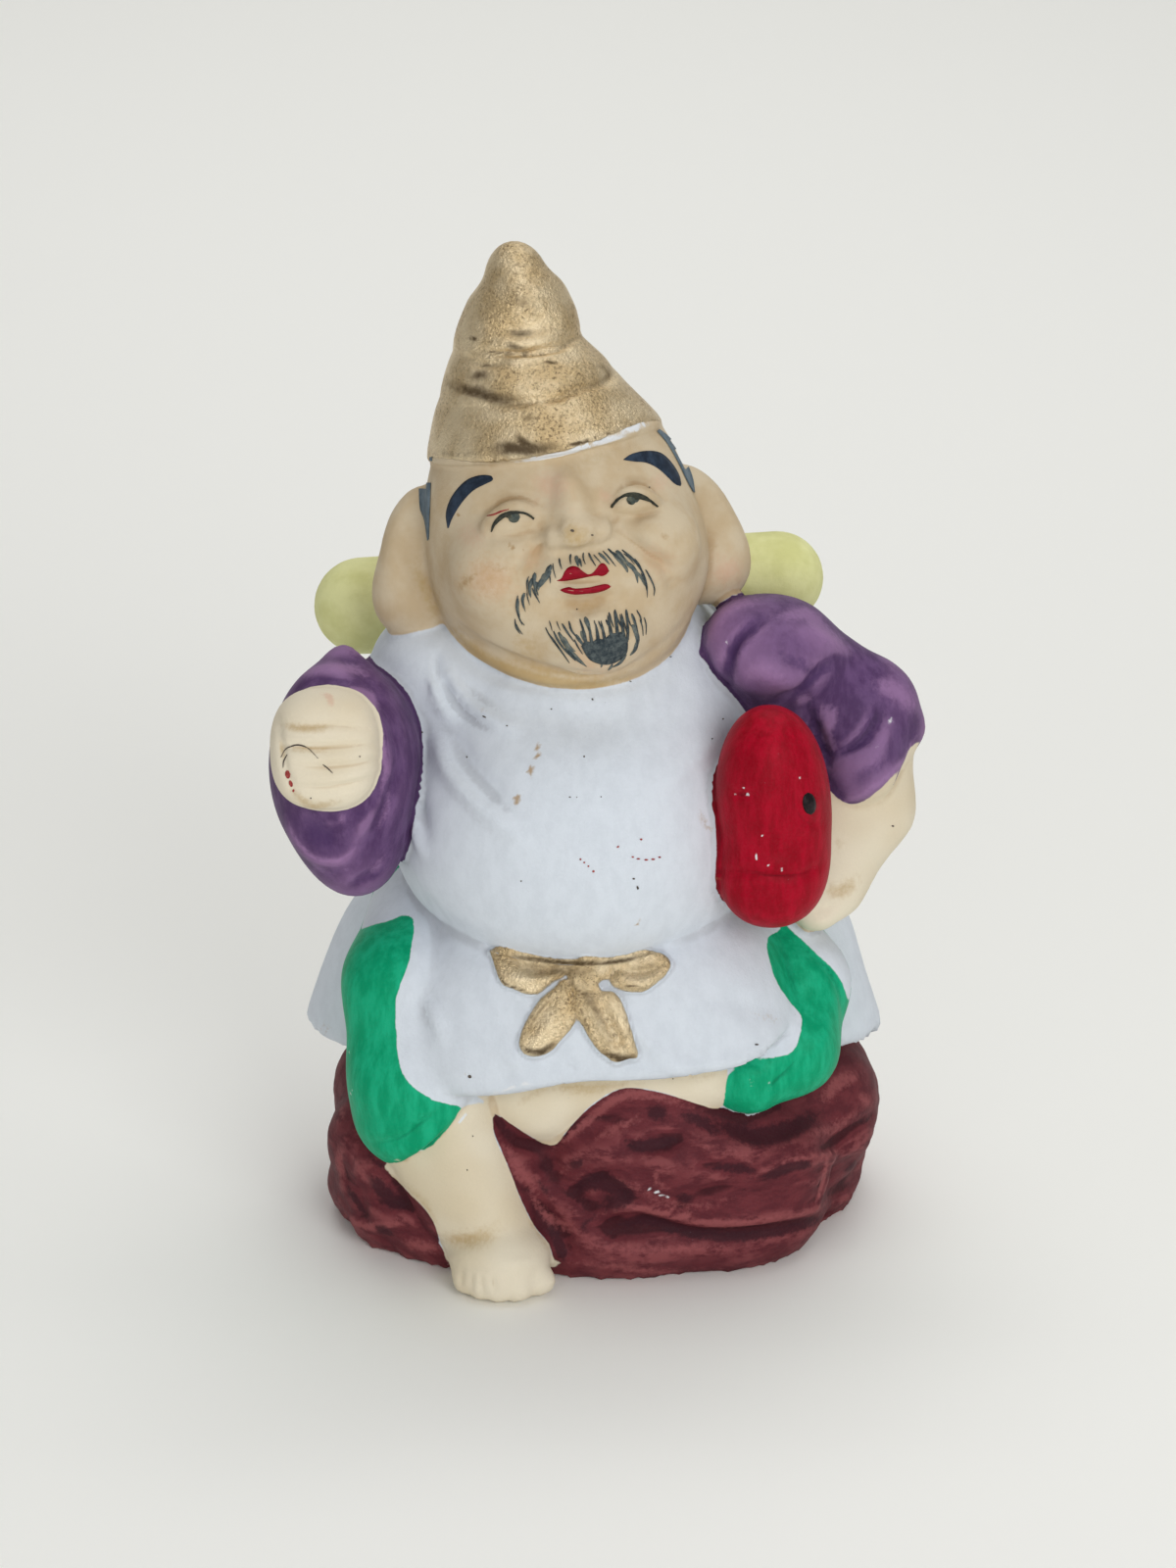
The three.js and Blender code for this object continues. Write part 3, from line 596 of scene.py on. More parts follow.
def inSight(mesh, sharp=0.25):  # 1 where the photograph shows the clay squarely, 0 where it is hidden or turned away
    tree = treeOf(mesh)
    points, normals = verticesOf(mesh), normalsOf(mesh)
    toEye = np.array(camera.location) - points
    toEye /= np.linalg.norm(toEye, axis=1, keepdims=True)
    facing = (normals * toEye).sum(1)
    shown = np.clip((facing - 0.01) / sharp, 0, 1)
    starts = points + normals * 0.15 * mm + toEye * 0.2 * mm
    for i in np.nonzero(shown)[0]:
        if tree.ray_cast(Vector(starts[i]), Vector(toEye[i]))[0] is not None:
            shown[i] = 0
    return shown * shown * (3 - 2 * shown)


# RELIEF that the fingers and tools left, each line with its width and height in mm
relief = {
    "cap": [
        ("cap", [(395, 705), (560, 722), (700, 722), (850, 695), (940, 640)], 0.35, -0.45),
        ("cap", [(540, 650), (650, 662), (760, 652), (880, 630)], 0.6, 0.35),
        ("cap", [(510, 560), (650, 572), (810, 545)], 1.0, -0.6),
        ("cap", [(640, 300), (680, 380), (740, 440)], 1.7, 0.4),
        ("cap", [(390, 742), (560, 755), (720, 748), (870, 720)], 0.4, 0.3),
        ("cap", [(370, 785), (450, 788), (540, 776)], 0.35, -0.25),
        ("cap", [(190, 885), (320, 935), (450, 975), (600, 1000), (700, 1005)], 0.45, -0.4),
        ("cap", [(420, 850), (560, 910), (700, 940), (820, 930)], 0.9, 0.25),
        ("cap", [(1180, 830), (1120, 890), (980, 925), (860, 985), (760, 1010)], 0.45, -0.35),
        ("cap", [(1020, 850), (900, 880), (800, 905)], 0.8, 0.2),
        ("cap", [(700, 1050), (820, 1025), (960, 975), (1120, 945)], 0.7, 0.25),
        ("cap", [(100, 1250), (400, 1285), (700, 1240), (1000, 1180), (1320, 1070)], 1.2, 0.15),
        ("cap", [(540, 190), (600, 172), (700, 176), (770, 166)], 0.3, -0.15),
    ],
    "face": [
        ("face", [(370, 352), (460, 326), (535, 346)], 0.9, 0.5),
        ("face", [(320, 345), (390, 298), (470, 286), (555, 320)], 0.35, -0.35),
        ("face", [(400, 268), (470, 258), (550, 285)], 0.6, 0.2),
        ("face", [(350, 436), (450, 446), (545, 412)], 0.45, -0.3),
        ("face", [(875, 292), (960, 280), (1045, 302)], 0.9, 0.5),
        ("face", [(855, 285), (900, 236), (970, 220), (1050, 250), (1080, 292)], 0.35, -0.35),
        ("face", [(890, 205), (970, 190), (1060, 218)], 0.6, 0.2),
        ("face", [(870, 352), (960, 366), (1045, 344)], 0.45, -0.28),
        ("face", [(880, 330), (920, 345)], 0.6, 0.25),
        ("face", [(880, 395), (930, 462), (1000, 520), (1085, 572), (1125, 650)], 0.85, -0.8),
        ("face", [(960, 400), (1050, 430), (1150, 500)], 1.6, 0.35),
        ("face", [(560, 420), (545, 490), (515, 570), (440, 650)], 0.85, -0.6),
        ("face", [(330, 470), (430, 500), (470, 560)], 1.6, 0.3),
        ("face", [(612, 520), (700, 536), (800, 508)], 0.6, -0.35),
        ("face", [(640, 380), (620, 420), (640, 460)], 0.4, -0.2),
        ("face", [(800, 360), (810, 400), (790, 440)], 0.4, -0.15),
        ("face", [(600, 460), (590, 430)], 0.9, 0.25),
        ("face", [(835, 420), (830, 400)], 0.9, 0.3),
        ("face", [(635, 655), (700, 652), (845, 642)], 0.3, -0.25),
        ("face", [(630, 742), (740, 756), (850, 728)], 0.8, -0.5),
        ("face", [(200, 840), (300, 918), (420, 975), (560, 1025), (700, 1050), (850, 1056)], 0.5, -0.45),
        ("face", [(250, 950), (400, 1012), (560, 1062), (700, 1082)], 0.5, 0.3),
        ("face", [(640, 620), (690, 600), (760, 612), (820, 590)], 0.5, 0.25),
        ("face", [(640, 685), (740, 686), (845, 668)], 0.4, 0.25),
        ("face", [(560, 250), (640, 270), (740, 230)], 1.6, -0.3),
    ],
    "robe": [
        ("robe", [(172, 185), (200, 260), (248, 350)], 0.45, 0.5),
        ("robe", [(248, 165), (300, 240), (350, 300), (430, 352), (525, 396)], 0.55, 0.5),
        ("robe", [(203, 455), (240, 560), (300, 640), (380, 722), (460, 792), (535, 855)], 0.8, 0.7),
        ("robe", [(255, 420), (320, 550), (415, 670), (470, 730)], 1.3, -0.45),
        ("robe", [(215, 180), (260, 280), (330, 350), (400, 395)], 0.5, -0.3),
        ("robe", [(73, 640), (85, 760), (110, 860), (135, 935)], 0.4, 0.45),
        ("robe", [(115, 640), (125, 740), (150, 850)], 0.5, -0.3),
        ("robe", [(190, 80), (196, 130), (192, 180)], 0.35, -0.25),
        ("robe", [(1400, 440), (1320, 525), (1235, 600), (1180, 640)], 0.8, 0.25),
        ("robe", [(1250, 220), (1200, 330), (1120, 400)], 1.0, -0.2),
        ("robe", [(640, 330), (850, 370), (1040, 330)], 2.2, -0.45),
        ("robe", [(270, 110), (400, 200), (560, 245), (740, 262), (920, 262), (1080, 215)], 0.8, 0.2),
        ("robe", [(30, 1000), (70, 1080), (160, 1180), (300, 1280)], 1.0, -0.3),
    ],
    "lap": [
        ("lap", [(340, 290), (372, 350), (388, 410)], 0.5, 0.5),
        ("lap", [(880, 350), (950, 440), (1020, 490)], 0.9, 0.4),
        ("lap", [(700, 460), (760, 515), (820, 520)], 0.9, -0.3),
        ("lap", [(560, 440), (610, 500)], 0.9, 0.3),
        ("lap", [(300, 500), (345, 540), (450, 552), (600, 532), (700, 514), (820, 522), (900, 502), (1010, 488), (1150, 470), (1260, 448), (1320, 425)], 0.5, 0.35),
        ("lap", [(1090, 300), (1200, 330), (1290, 350)], 1.2, -0.25),
    ],
    "fist": [
        ("arm", [(110, 478), (250, 488), (400, 484), (560, 500)], 0.4, -0.4),
        ("arm", [(120, 592), (250, 598), (420, 592), (590, 575)], 0.4, -0.4),
        ("arm", [(200, 690), (330, 700), (480, 685), (610, 655)], 0.4, -0.35),
        ("arm", [(190, 790), (330, 800), (480, 775), (600, 735)], 0.4, -0.35),
        ("arm", [(130, 540), (300, 545), (570, 538)], 0.6, 0.2),
        ("arm", [(300, 648), (420, 645), (600, 620)], 0.6, 0.2),
        ("arm", [(300, 748), (450, 735), (600, 700)], 0.6, 0.2),
        ("arm", [(110, 450), (125, 560), (150, 700), (190, 800)], 0.4, -0.3),
    ],
    "raisedSleeve": [
        ("arm", [(150, 930), (205, 1050), (300, 1140), (420, 1150), (490, 1090)], 0.5, 0.3),
        ("arm", [(250, 960), (350, 1040), (440, 1020)], 1.2, -0.4),
        ("arm", [(640, 820), (560, 930), (500, 1040)], 0.6, 0.3),
        ("arm", [(700, 700), (640, 880), (590, 1040)], 0.6, -0.3),
        ("arm", [(520, 330), (600, 430), (640, 560), (650, 720), (600, 840)], 0.5, 0.3),
        ("arm", [(430, 130), (500, 200), (600, 300)], 0.9, -0.3),
        ("arm", [(170, 300), (320, 230), (480, 240)], 0.9, 0.2),
        ("arm", [(600, 1210), (540, 1240), (480, 1290)], 0.5, -0.3),
    ],
    "loweredSleeve": [
        ("right", [(130, 515), (140, 430), (180, 370), (235, 318)], 0.6, -0.6),
        ("right", [(163, 435), (178, 400), (198, 370)], 0.3, 0.4),
        ("right", [(290, 572), (370, 547), (420, 490), (465, 448)], 0.55, -0.55),
        ("right", [(225, 470), (270, 500), (330, 520)], 0.8, 0.4),
        ("right", [(340, 340), (430, 385), (530, 440)], 1.0, 0.45),
        ("right", [(392, 585), (420, 680), (452, 770)], 0.45, -0.5),
        ("right", [(430, 600), (460, 680)], 0.6, 0.35),
        ("right", [(468, 748), (540, 716), (590, 660), (607, 605)], 0.4, -0.5),
        ("right", [(500, 785), (600, 742), (645, 650)], 0.7, 0.3),
        ("right", [(485, 900), (580, 856), (690, 765), (735, 680)], 0.5, 0.25),
        ("right", [(75, 400), (110, 320), (180, 275)], 0.6, 0.3),
    ],
    "fish": [
        ("right", [(115, 1118), (200, 1122), (300, 1136), (370, 1130), (425, 1100)], 0.4, -0.4),
        ("right", [(170, 1172), (230, 1180), (300, 1170)], 0.5, -0.25),
        ("right", [(220, 1085), (280, 1095), (340, 1095)], 0.7, 0.3),
        ("right", [(350, 820), (345, 900), (380, 960), (430, 970)], 0.45, -0.35),
        ("right", [(391, 902)], 0.7, 0.35),
        ("right", [(150, 868), (175, 876), (205, 872)], 0.35, -0.4),
        ("right", [(250, 680), (255, 780), (262, 900), (258, 1000)], 1.5, 0.3),
        ("right", [(165, 640), (220, 660), (300, 640)], 0.6, -0.2),
        ("right", [(250, 1010), (330, 1020), (400, 1010)], 0.5, -0.2),
    ],
    "forearm": [
        ("right", [(420, 1195), (470, 1185), (530, 1160)], 0.4, -0.25),
        ("right", [(405, 1240), (450, 1235), (490, 1212)], 0.6, -0.3),
        ("right", [(400, 1290), (440, 1280), (480, 1260)], 0.7, 0.25),
    ],
    "trousers": [
        ("rock", [(150, 345), (225, 332), (295, 290), (345, 250)], 0.4, -0.4),
        ("rock", [(120, 300), (180, 300), (250, 270), (300, 235)], 0.7, 0.25),
        ("lap", [(1300, 140), (1400, 215), (1442, 290), (1455, 390)], 0.4, -0.45),
        ("lap", [(1235, 565), (1262, 530), (1300, 500), (1330, 460)], 0.4, -0.4),
        ("lap", [(1150, 480), (1200, 500), (1240, 520)], 0.8, 0.3),
        ("lap", [(1340, 480), (1390, 420), (1400, 340)], 0.8, 0.3),
        ("lap", [(140, 260), (150, 400), (180, 560)], 1.2, 0.25),
        ("lap", [(230, 560), (290, 620), (350, 640)], 0.8, -0.25),
    ],
    "bareLegs": [
        ("rock", [(404, 690), (400, 710), (400, 735)], 0.22, -0.28),
        ("rock", [(431, 696), (429, 715), (430, 745)], 0.22, -0.28),
        ("rock", [(457, 698), (457, 720), (460, 750)], 0.22, -0.28),
        ("rock", [(486, 700), (489, 725), (496, 752)], 0.25, -0.32),
        ("rock", [(415, 665), (440, 672), (480, 676)], 0.5, -0.2),
        ("rock", [(520, 662), (560, 668), (600, 655)], 0.7, 0.25),
        ("rock", [(350, 600), (400, 600), (450, 585)], 0.8, -0.35),
        ("rock", [(440, 560), (500, 580), (560, 560)], 1.2, 0.2),
    ],
    "rock": [
        ("rock", [(690, 320), (780, 240), (850, 202), (930, 204), (1020, 232)], 0.6, 0.35),
        ("rock", [(900, 545), (1050, 578), (1200, 578), (1330, 552), (1440, 508)], 0.8, -0.7),
        ("rock", [(820, 515), (900, 528), (1000, 552), (1100, 560), (1250, 545), (1400, 515), (1480, 470)], 0.6, 0.5),
        ("rock", [(1180, 428), (1300, 388), (1400, 372), (1520, 325)], 0.5, 0.45),
        ("rock", [(1402, 365), (1386, 440), (1362, 515)], 0.35, 0.45),
        ("rock", [(1425, 380), (1410, 450), (1390, 510)], 0.5, -0.3),
        ("rock", [(1090, 265), (1200, 305), (1300, 292), (1390, 235)], 1.2, -0.45),
        ("rock", [(495, 320), (560, 400), (640, 470), (700, 540), (770, 600)], 0.9, 0.45),
        ("rock", [(620, 520), (680, 590), (700, 650)], 0.8, -0.45),
        ("rock", [(720, 600), (850, 640), (1000, 640), (1180, 615)], 0.9, 0.35),
        ("rock", [(1540, 250), (1460, 305), (1395, 350)], 0.5, -0.5),
        ("rock", [(80, 415), (112, 470), (148, 548)], 0.45, -0.45),
        ("rock", [(60, 520), (150, 562), (260, 545), (330, 590)], 0.7, 0.35),
        ("rock", [(100, 330), (160, 420), (230, 480)], 0.8, 0.3),
        ("rock", [(520, 330), (600, 350), (660, 420)], 0.7, -0.35),
        ("rock", [(660, 400), (760, 360), (860, 390), (960, 400)], 0.8, 0.3),
        ("rock", [(900, 470), (980, 500), (1080, 470), (1180, 440)], 0.7, -0.3),
    ],
}

deepen = {"robe": 1.45, "face": 1.3, "rock": 1.3, "lap": 1.2, "loweredSleeve": 1.2, "raisedSleeve": 1.2, "cap": 1.1, "bareLegs": 0.75}

# Flat dents in the rock: outline, depth and how soft the rim is
rockDents = [
    ("rock", [(688, 472), (720, 440), (790, 412), (830, 450), (888, 497), (800, 510), (750, 538), (715, 512)], 0.6, 0.5),
    ("rock", [(840, 320), (880, 332), (930, 308), (1000, 308), (1012, 332), (960, 365), (900, 372), (850, 352)], 0.45, 0.5),
    ("rock", [(780, 565), (830, 525), (900, 520), (990, 555), (1060, 592), (960, 592), (850, 597), (800, 602)], 0.5, 0.5),
    ("rock", [(1050, 392), (1140, 385), (1215, 412), (1170, 432), (1060, 412)], 0.35, 0.4),
    ("rock", [(110, 430), (180, 400), (250, 460), (280, 520), (200, 520), (140, 500)], 0.5, 0.6),
    ("rock", [(1420, 400), (1490, 370), (1500, 430), (1450, 480), (1400, 490)], 0.5, 0.5),
]

# The sash bow stands proud of the lap: outline, height and how soft the rim is
bow = {
    "rise": 0.75,
    "rim": 0.35,
    "parts": [
        [(515, 180), (545, 170), (590, 182), (645, 196), (700, 205), (722, 216), (716, 240), (682, 262), (650, 290), (620, 297), (580, 282), (550, 270), (535, 240), (524, 205)],
        [(698, 205), (745, 206), (760, 194), (790, 198), (832, 200), (850, 216), (832, 250), (800, 265), (810, 287), (770, 302), (735, 292), (724, 250)],
        [(832, 202), (880, 190), (920, 180), (962, 186), (992, 210), (986, 236), (960, 262), (930, 285), (900, 290), (850, 280), (830, 260), (850, 234)],
        [(716, 256), (726, 290), (736, 340), (738, 372), (700, 420), (670, 450), (630, 460), (600, 446), (593, 420), (606, 380), (640, 320), (680, 284)],
        [(740, 292), (780, 297), (830, 286), (860, 310), (880, 360), (896, 420), (906, 460), (880, 465), (850, 475), (820, 460), (790, 430), (760, 380), (736, 330)],
    ],
    "lines": [
        ("lap", [(545, 190), (600, 225), (660, 240), (715, 222)], 0.35, -0.4),
        ("lap", [(560, 250), (610, 262), (660, 255)], 0.35, 0.25),
        ("lap", [(845, 225), (900, 240), (960, 225)], 0.35, -0.4),
        ("lap", [(870, 262), (920, 268), (960, 245)], 0.35, 0.25),
        ("lap", [(722, 230), (720, 260), (700, 280)], 0.25, -0.4),
        ("lap", [(838, 205), (836, 240), (815, 262)], 0.25, -0.4),
        ("lap", [(735, 290), (770, 296), (822, 286)], 0.25, -0.4),
        ("lap", [(712, 300), (690, 350), (650, 400), (625, 440)], 0.3, 0.3),
        ("lap", [(685, 300), (650, 350), (612, 400)], 0.25, -0.3),
        ("lap", [(730, 350), (700, 400), (665, 440)], 0.25, -0.25),
        ("lap", [(770, 310), (800, 370), (850, 450)], 0.3, 0.3),
        ("lap", [(830, 300), (860, 370), (885, 440)], 0.3, 0.3),
        ("lap", [(800, 305), (830, 370), (868, 450)], 0.3, -0.3),
    ] + [("lap", [(772 + 13 * i, 330 + 22 * i), (806 + 13 * i, 322 + 22 * i)], 0.16, 0.3) for i in range(6)],
}

# PAINTED AREAS, outlined where the photograph shows them; edges off the doll run out past its outline
areas = {
    "gold": [("cap", [(-300, 1300), (85, 1322), (200, 1332), (400, 1346), (560, 1336), (640, 1322), (740, 1311), (860, 1286), (960, 1260), (1100, 1216), (1200, 1180), (1290, 1142), (1350, 1120), (1415, 1108), (1800, 1000), (1800, -300), (-300, -300)])]
    + [("lap", part) for part in bow["parts"]],
    "cream": [
        ("arm", [(75, 430), (82, 392), (130, 350), (200, 312), (300, 299), (420, 315), (480, 346), (530, 400), (570, 460), (602, 540), (627, 640), (622, 720), (590, 800), (500, 850), (400, 886), (290, 906), (220, 892), (168, 840), (120, 740), (86, 600), (72, 490)]),
        ("right", [(478, 928), (490, 922), (520, 914), (580, 884), (640, 832), (690, 770), (716, 720), (800, 700), (800, 1000), (640, 1220), (540, 1240), (470, 1275), (400, 1285), (384, 1272), (402, 1255), (410, 1190), (440, 1130), (462, 1060), (472, 1000)]),
        ("rock", [(190, 396), (260, 372), (320, 346), (372, 290), (402, 242), (440, 232), (468, 240), (488, 250), (490, 310), (530, 402), (560, 482), (600, 562), (640, 612), (655, 656), (690, 658), (655, 680), (640, 800), (340, 800), (362, 680), (340, 590), (328, 552), (298, 510), (240, 452)]),
        ("rock", [(468, 238), (480, 243), (520, 271), (580, 312), (650, 346), (700, 291), (760, 231), (830, 190), (880, 187), (950, 200), (1030, 225), (1090, 245), (1112, 240), (1120, 180), (1110, 120), (900, 140), (700, 170), (500, 200)]),
    ],
    "purple": [
        ("arm", [(385, 122), (392, 108), (430, 95), (480, 125), (560, 146), (592, 180), (620, 220), (700, 270), (760, 340), (792, 420), (802, 480), (802, 540), (782, 650), (762, 760), (742, 800), (722, 900), (702, 1050), (697, 1160), (652, 1230), (602, 1255), (560, 1286), (500, 1300), (465, 1320), (300, 1320), (0, 1100), (-100, 500), (0, 200), (200, 100), (330, 130)]),
        ("right", [(45, 400), (55, 350), (90, 300), (130, 262), (200, 238), (300, 233), (360, 225), (420, 180), (700, 400), (900, 600), (800, 680), (716, 722), (690, 772), (640, 832), (580, 882), (520, 912), (487, 922), (478, 928), (455, 860), (430, 790), (400, 720), (370, 650), (340, 615), (305, 583), (240, 576), (180, 556), (130, 520), (110, 480), (62, 450), (42, 425)]),
    ],
    "green": [
        ("lap", [(255, 100), (290, 85), (312, 91), (315, 130), (300, 220), (276, 280), (268, 330), (270, 420), (280, 490), (310, 548), (370, 584), (441, 592), (420, 632), (390, 680), (330, 716), (250, 740), (205, 745), (100, 740), (0, 600), (0, 440), (30, 330), (60, 240), (110, 160), (190, 120)]),
        ("rock", [(0, 60), (0, 300), (100, 400), (190, 398), (260, 372), (320, 346), (372, 290), (402, 242), (330, 222), (270, 185), (235, 130), (220, 60), (140, 20)]),
        ("lap", [(1250, 140), (1300, 125), (1340, 155), (1400, 210), (1440, 260), (1462, 330), (1472, 380), (1447, 432), (1430, 480), (1400, 540), (1350, 580), (1282, 602), (1232, 602), (1200, 622), (1150, 602), (1115, 570), (1135, 535), (1146, 505), (1190, 484), (1250, 466), (1312, 450), (1332, 400), (1336, 350), (1300, 310), (1265, 250), (1248, 190)]),
    ],
    "red": [("right", [(165, 640), (205, 610), (260, 590), (305, 583), (340, 615), (370, 650), (400, 720), (430, 790), (455, 860), (478, 930), (470, 1000), (460, 1060), (440, 1130), (410, 1190), (400, 1255), (330, 1290), (265, 1305), (215, 1285), (180, 1245), (140, 1190), (112, 1140), (103, 1070), (112, 980), (125, 900), (130, 820), (140, 740), (150, 690), (140, 662)]), ("right", [(137, 655), (150, 648), (168, 655), (172, 690), (150, 688), (140, 678)])],
    "rock": [("rock", [(40, 40), (90, 230), (140, 340), (190, 396), (240, 452), (298, 510), (328, 552), (340, 590), (362, 680), (500, 760), (692, 660), (655, 656), (640, 612), (600, 562), (560, 482), (530, 402), (490, 310), (484, 270), (468, 240), (480, 243), (520, 271), (580, 312), (650, 346), (700, 291), (760, 231), (830, 190), (880, 187), (950, 200), (1030, 225), (1090, 245), (1112, 240), (1150, 265), (1190, 272), (1250, 245), (1320, 235), (1380, 190), (1420, 132), (1440, 72), (1475, 42), (1600, 40), (1700, 700), (1000, 900), (0, 800), (-100, 300)])],
}
volumeNames = {
    "rock": ["rock"],
    "gold": ["cap"],
    "skin": ["face", "ears", "cap"],
    "cream": ["forearm", "fist", "bareLegs"],
    "purple": ["raisedSleeve", "loweredSleeve"],
    "green": ["trousers"],
    "red": ["fish"],
    "lime": ["roll"],
}
alsoOwn = {  # parts that carry their paint out to their own edges as well
    "purple": ["raisedSleeve", "loweredSleeve"],
    "red": ["fish"],
    "cream": ["fist", "forearm"],
    "rock": ["rock"],
}
offLimits = {  # parts that a paint's outlines run across without touching them
    "purple": ["roll", "face", "ears"],
    "rock": ["flaps", "lap"],
    "green": ["flaps", "rock"],
    "cream": ["robe", "flaps", "lap", "raisedSleeve"],
    "red": ["loweredSleeve"],
}
shy = {"green": 0.5}  # mm that a paint stays back from its part's edge where the photograph doesn't show it

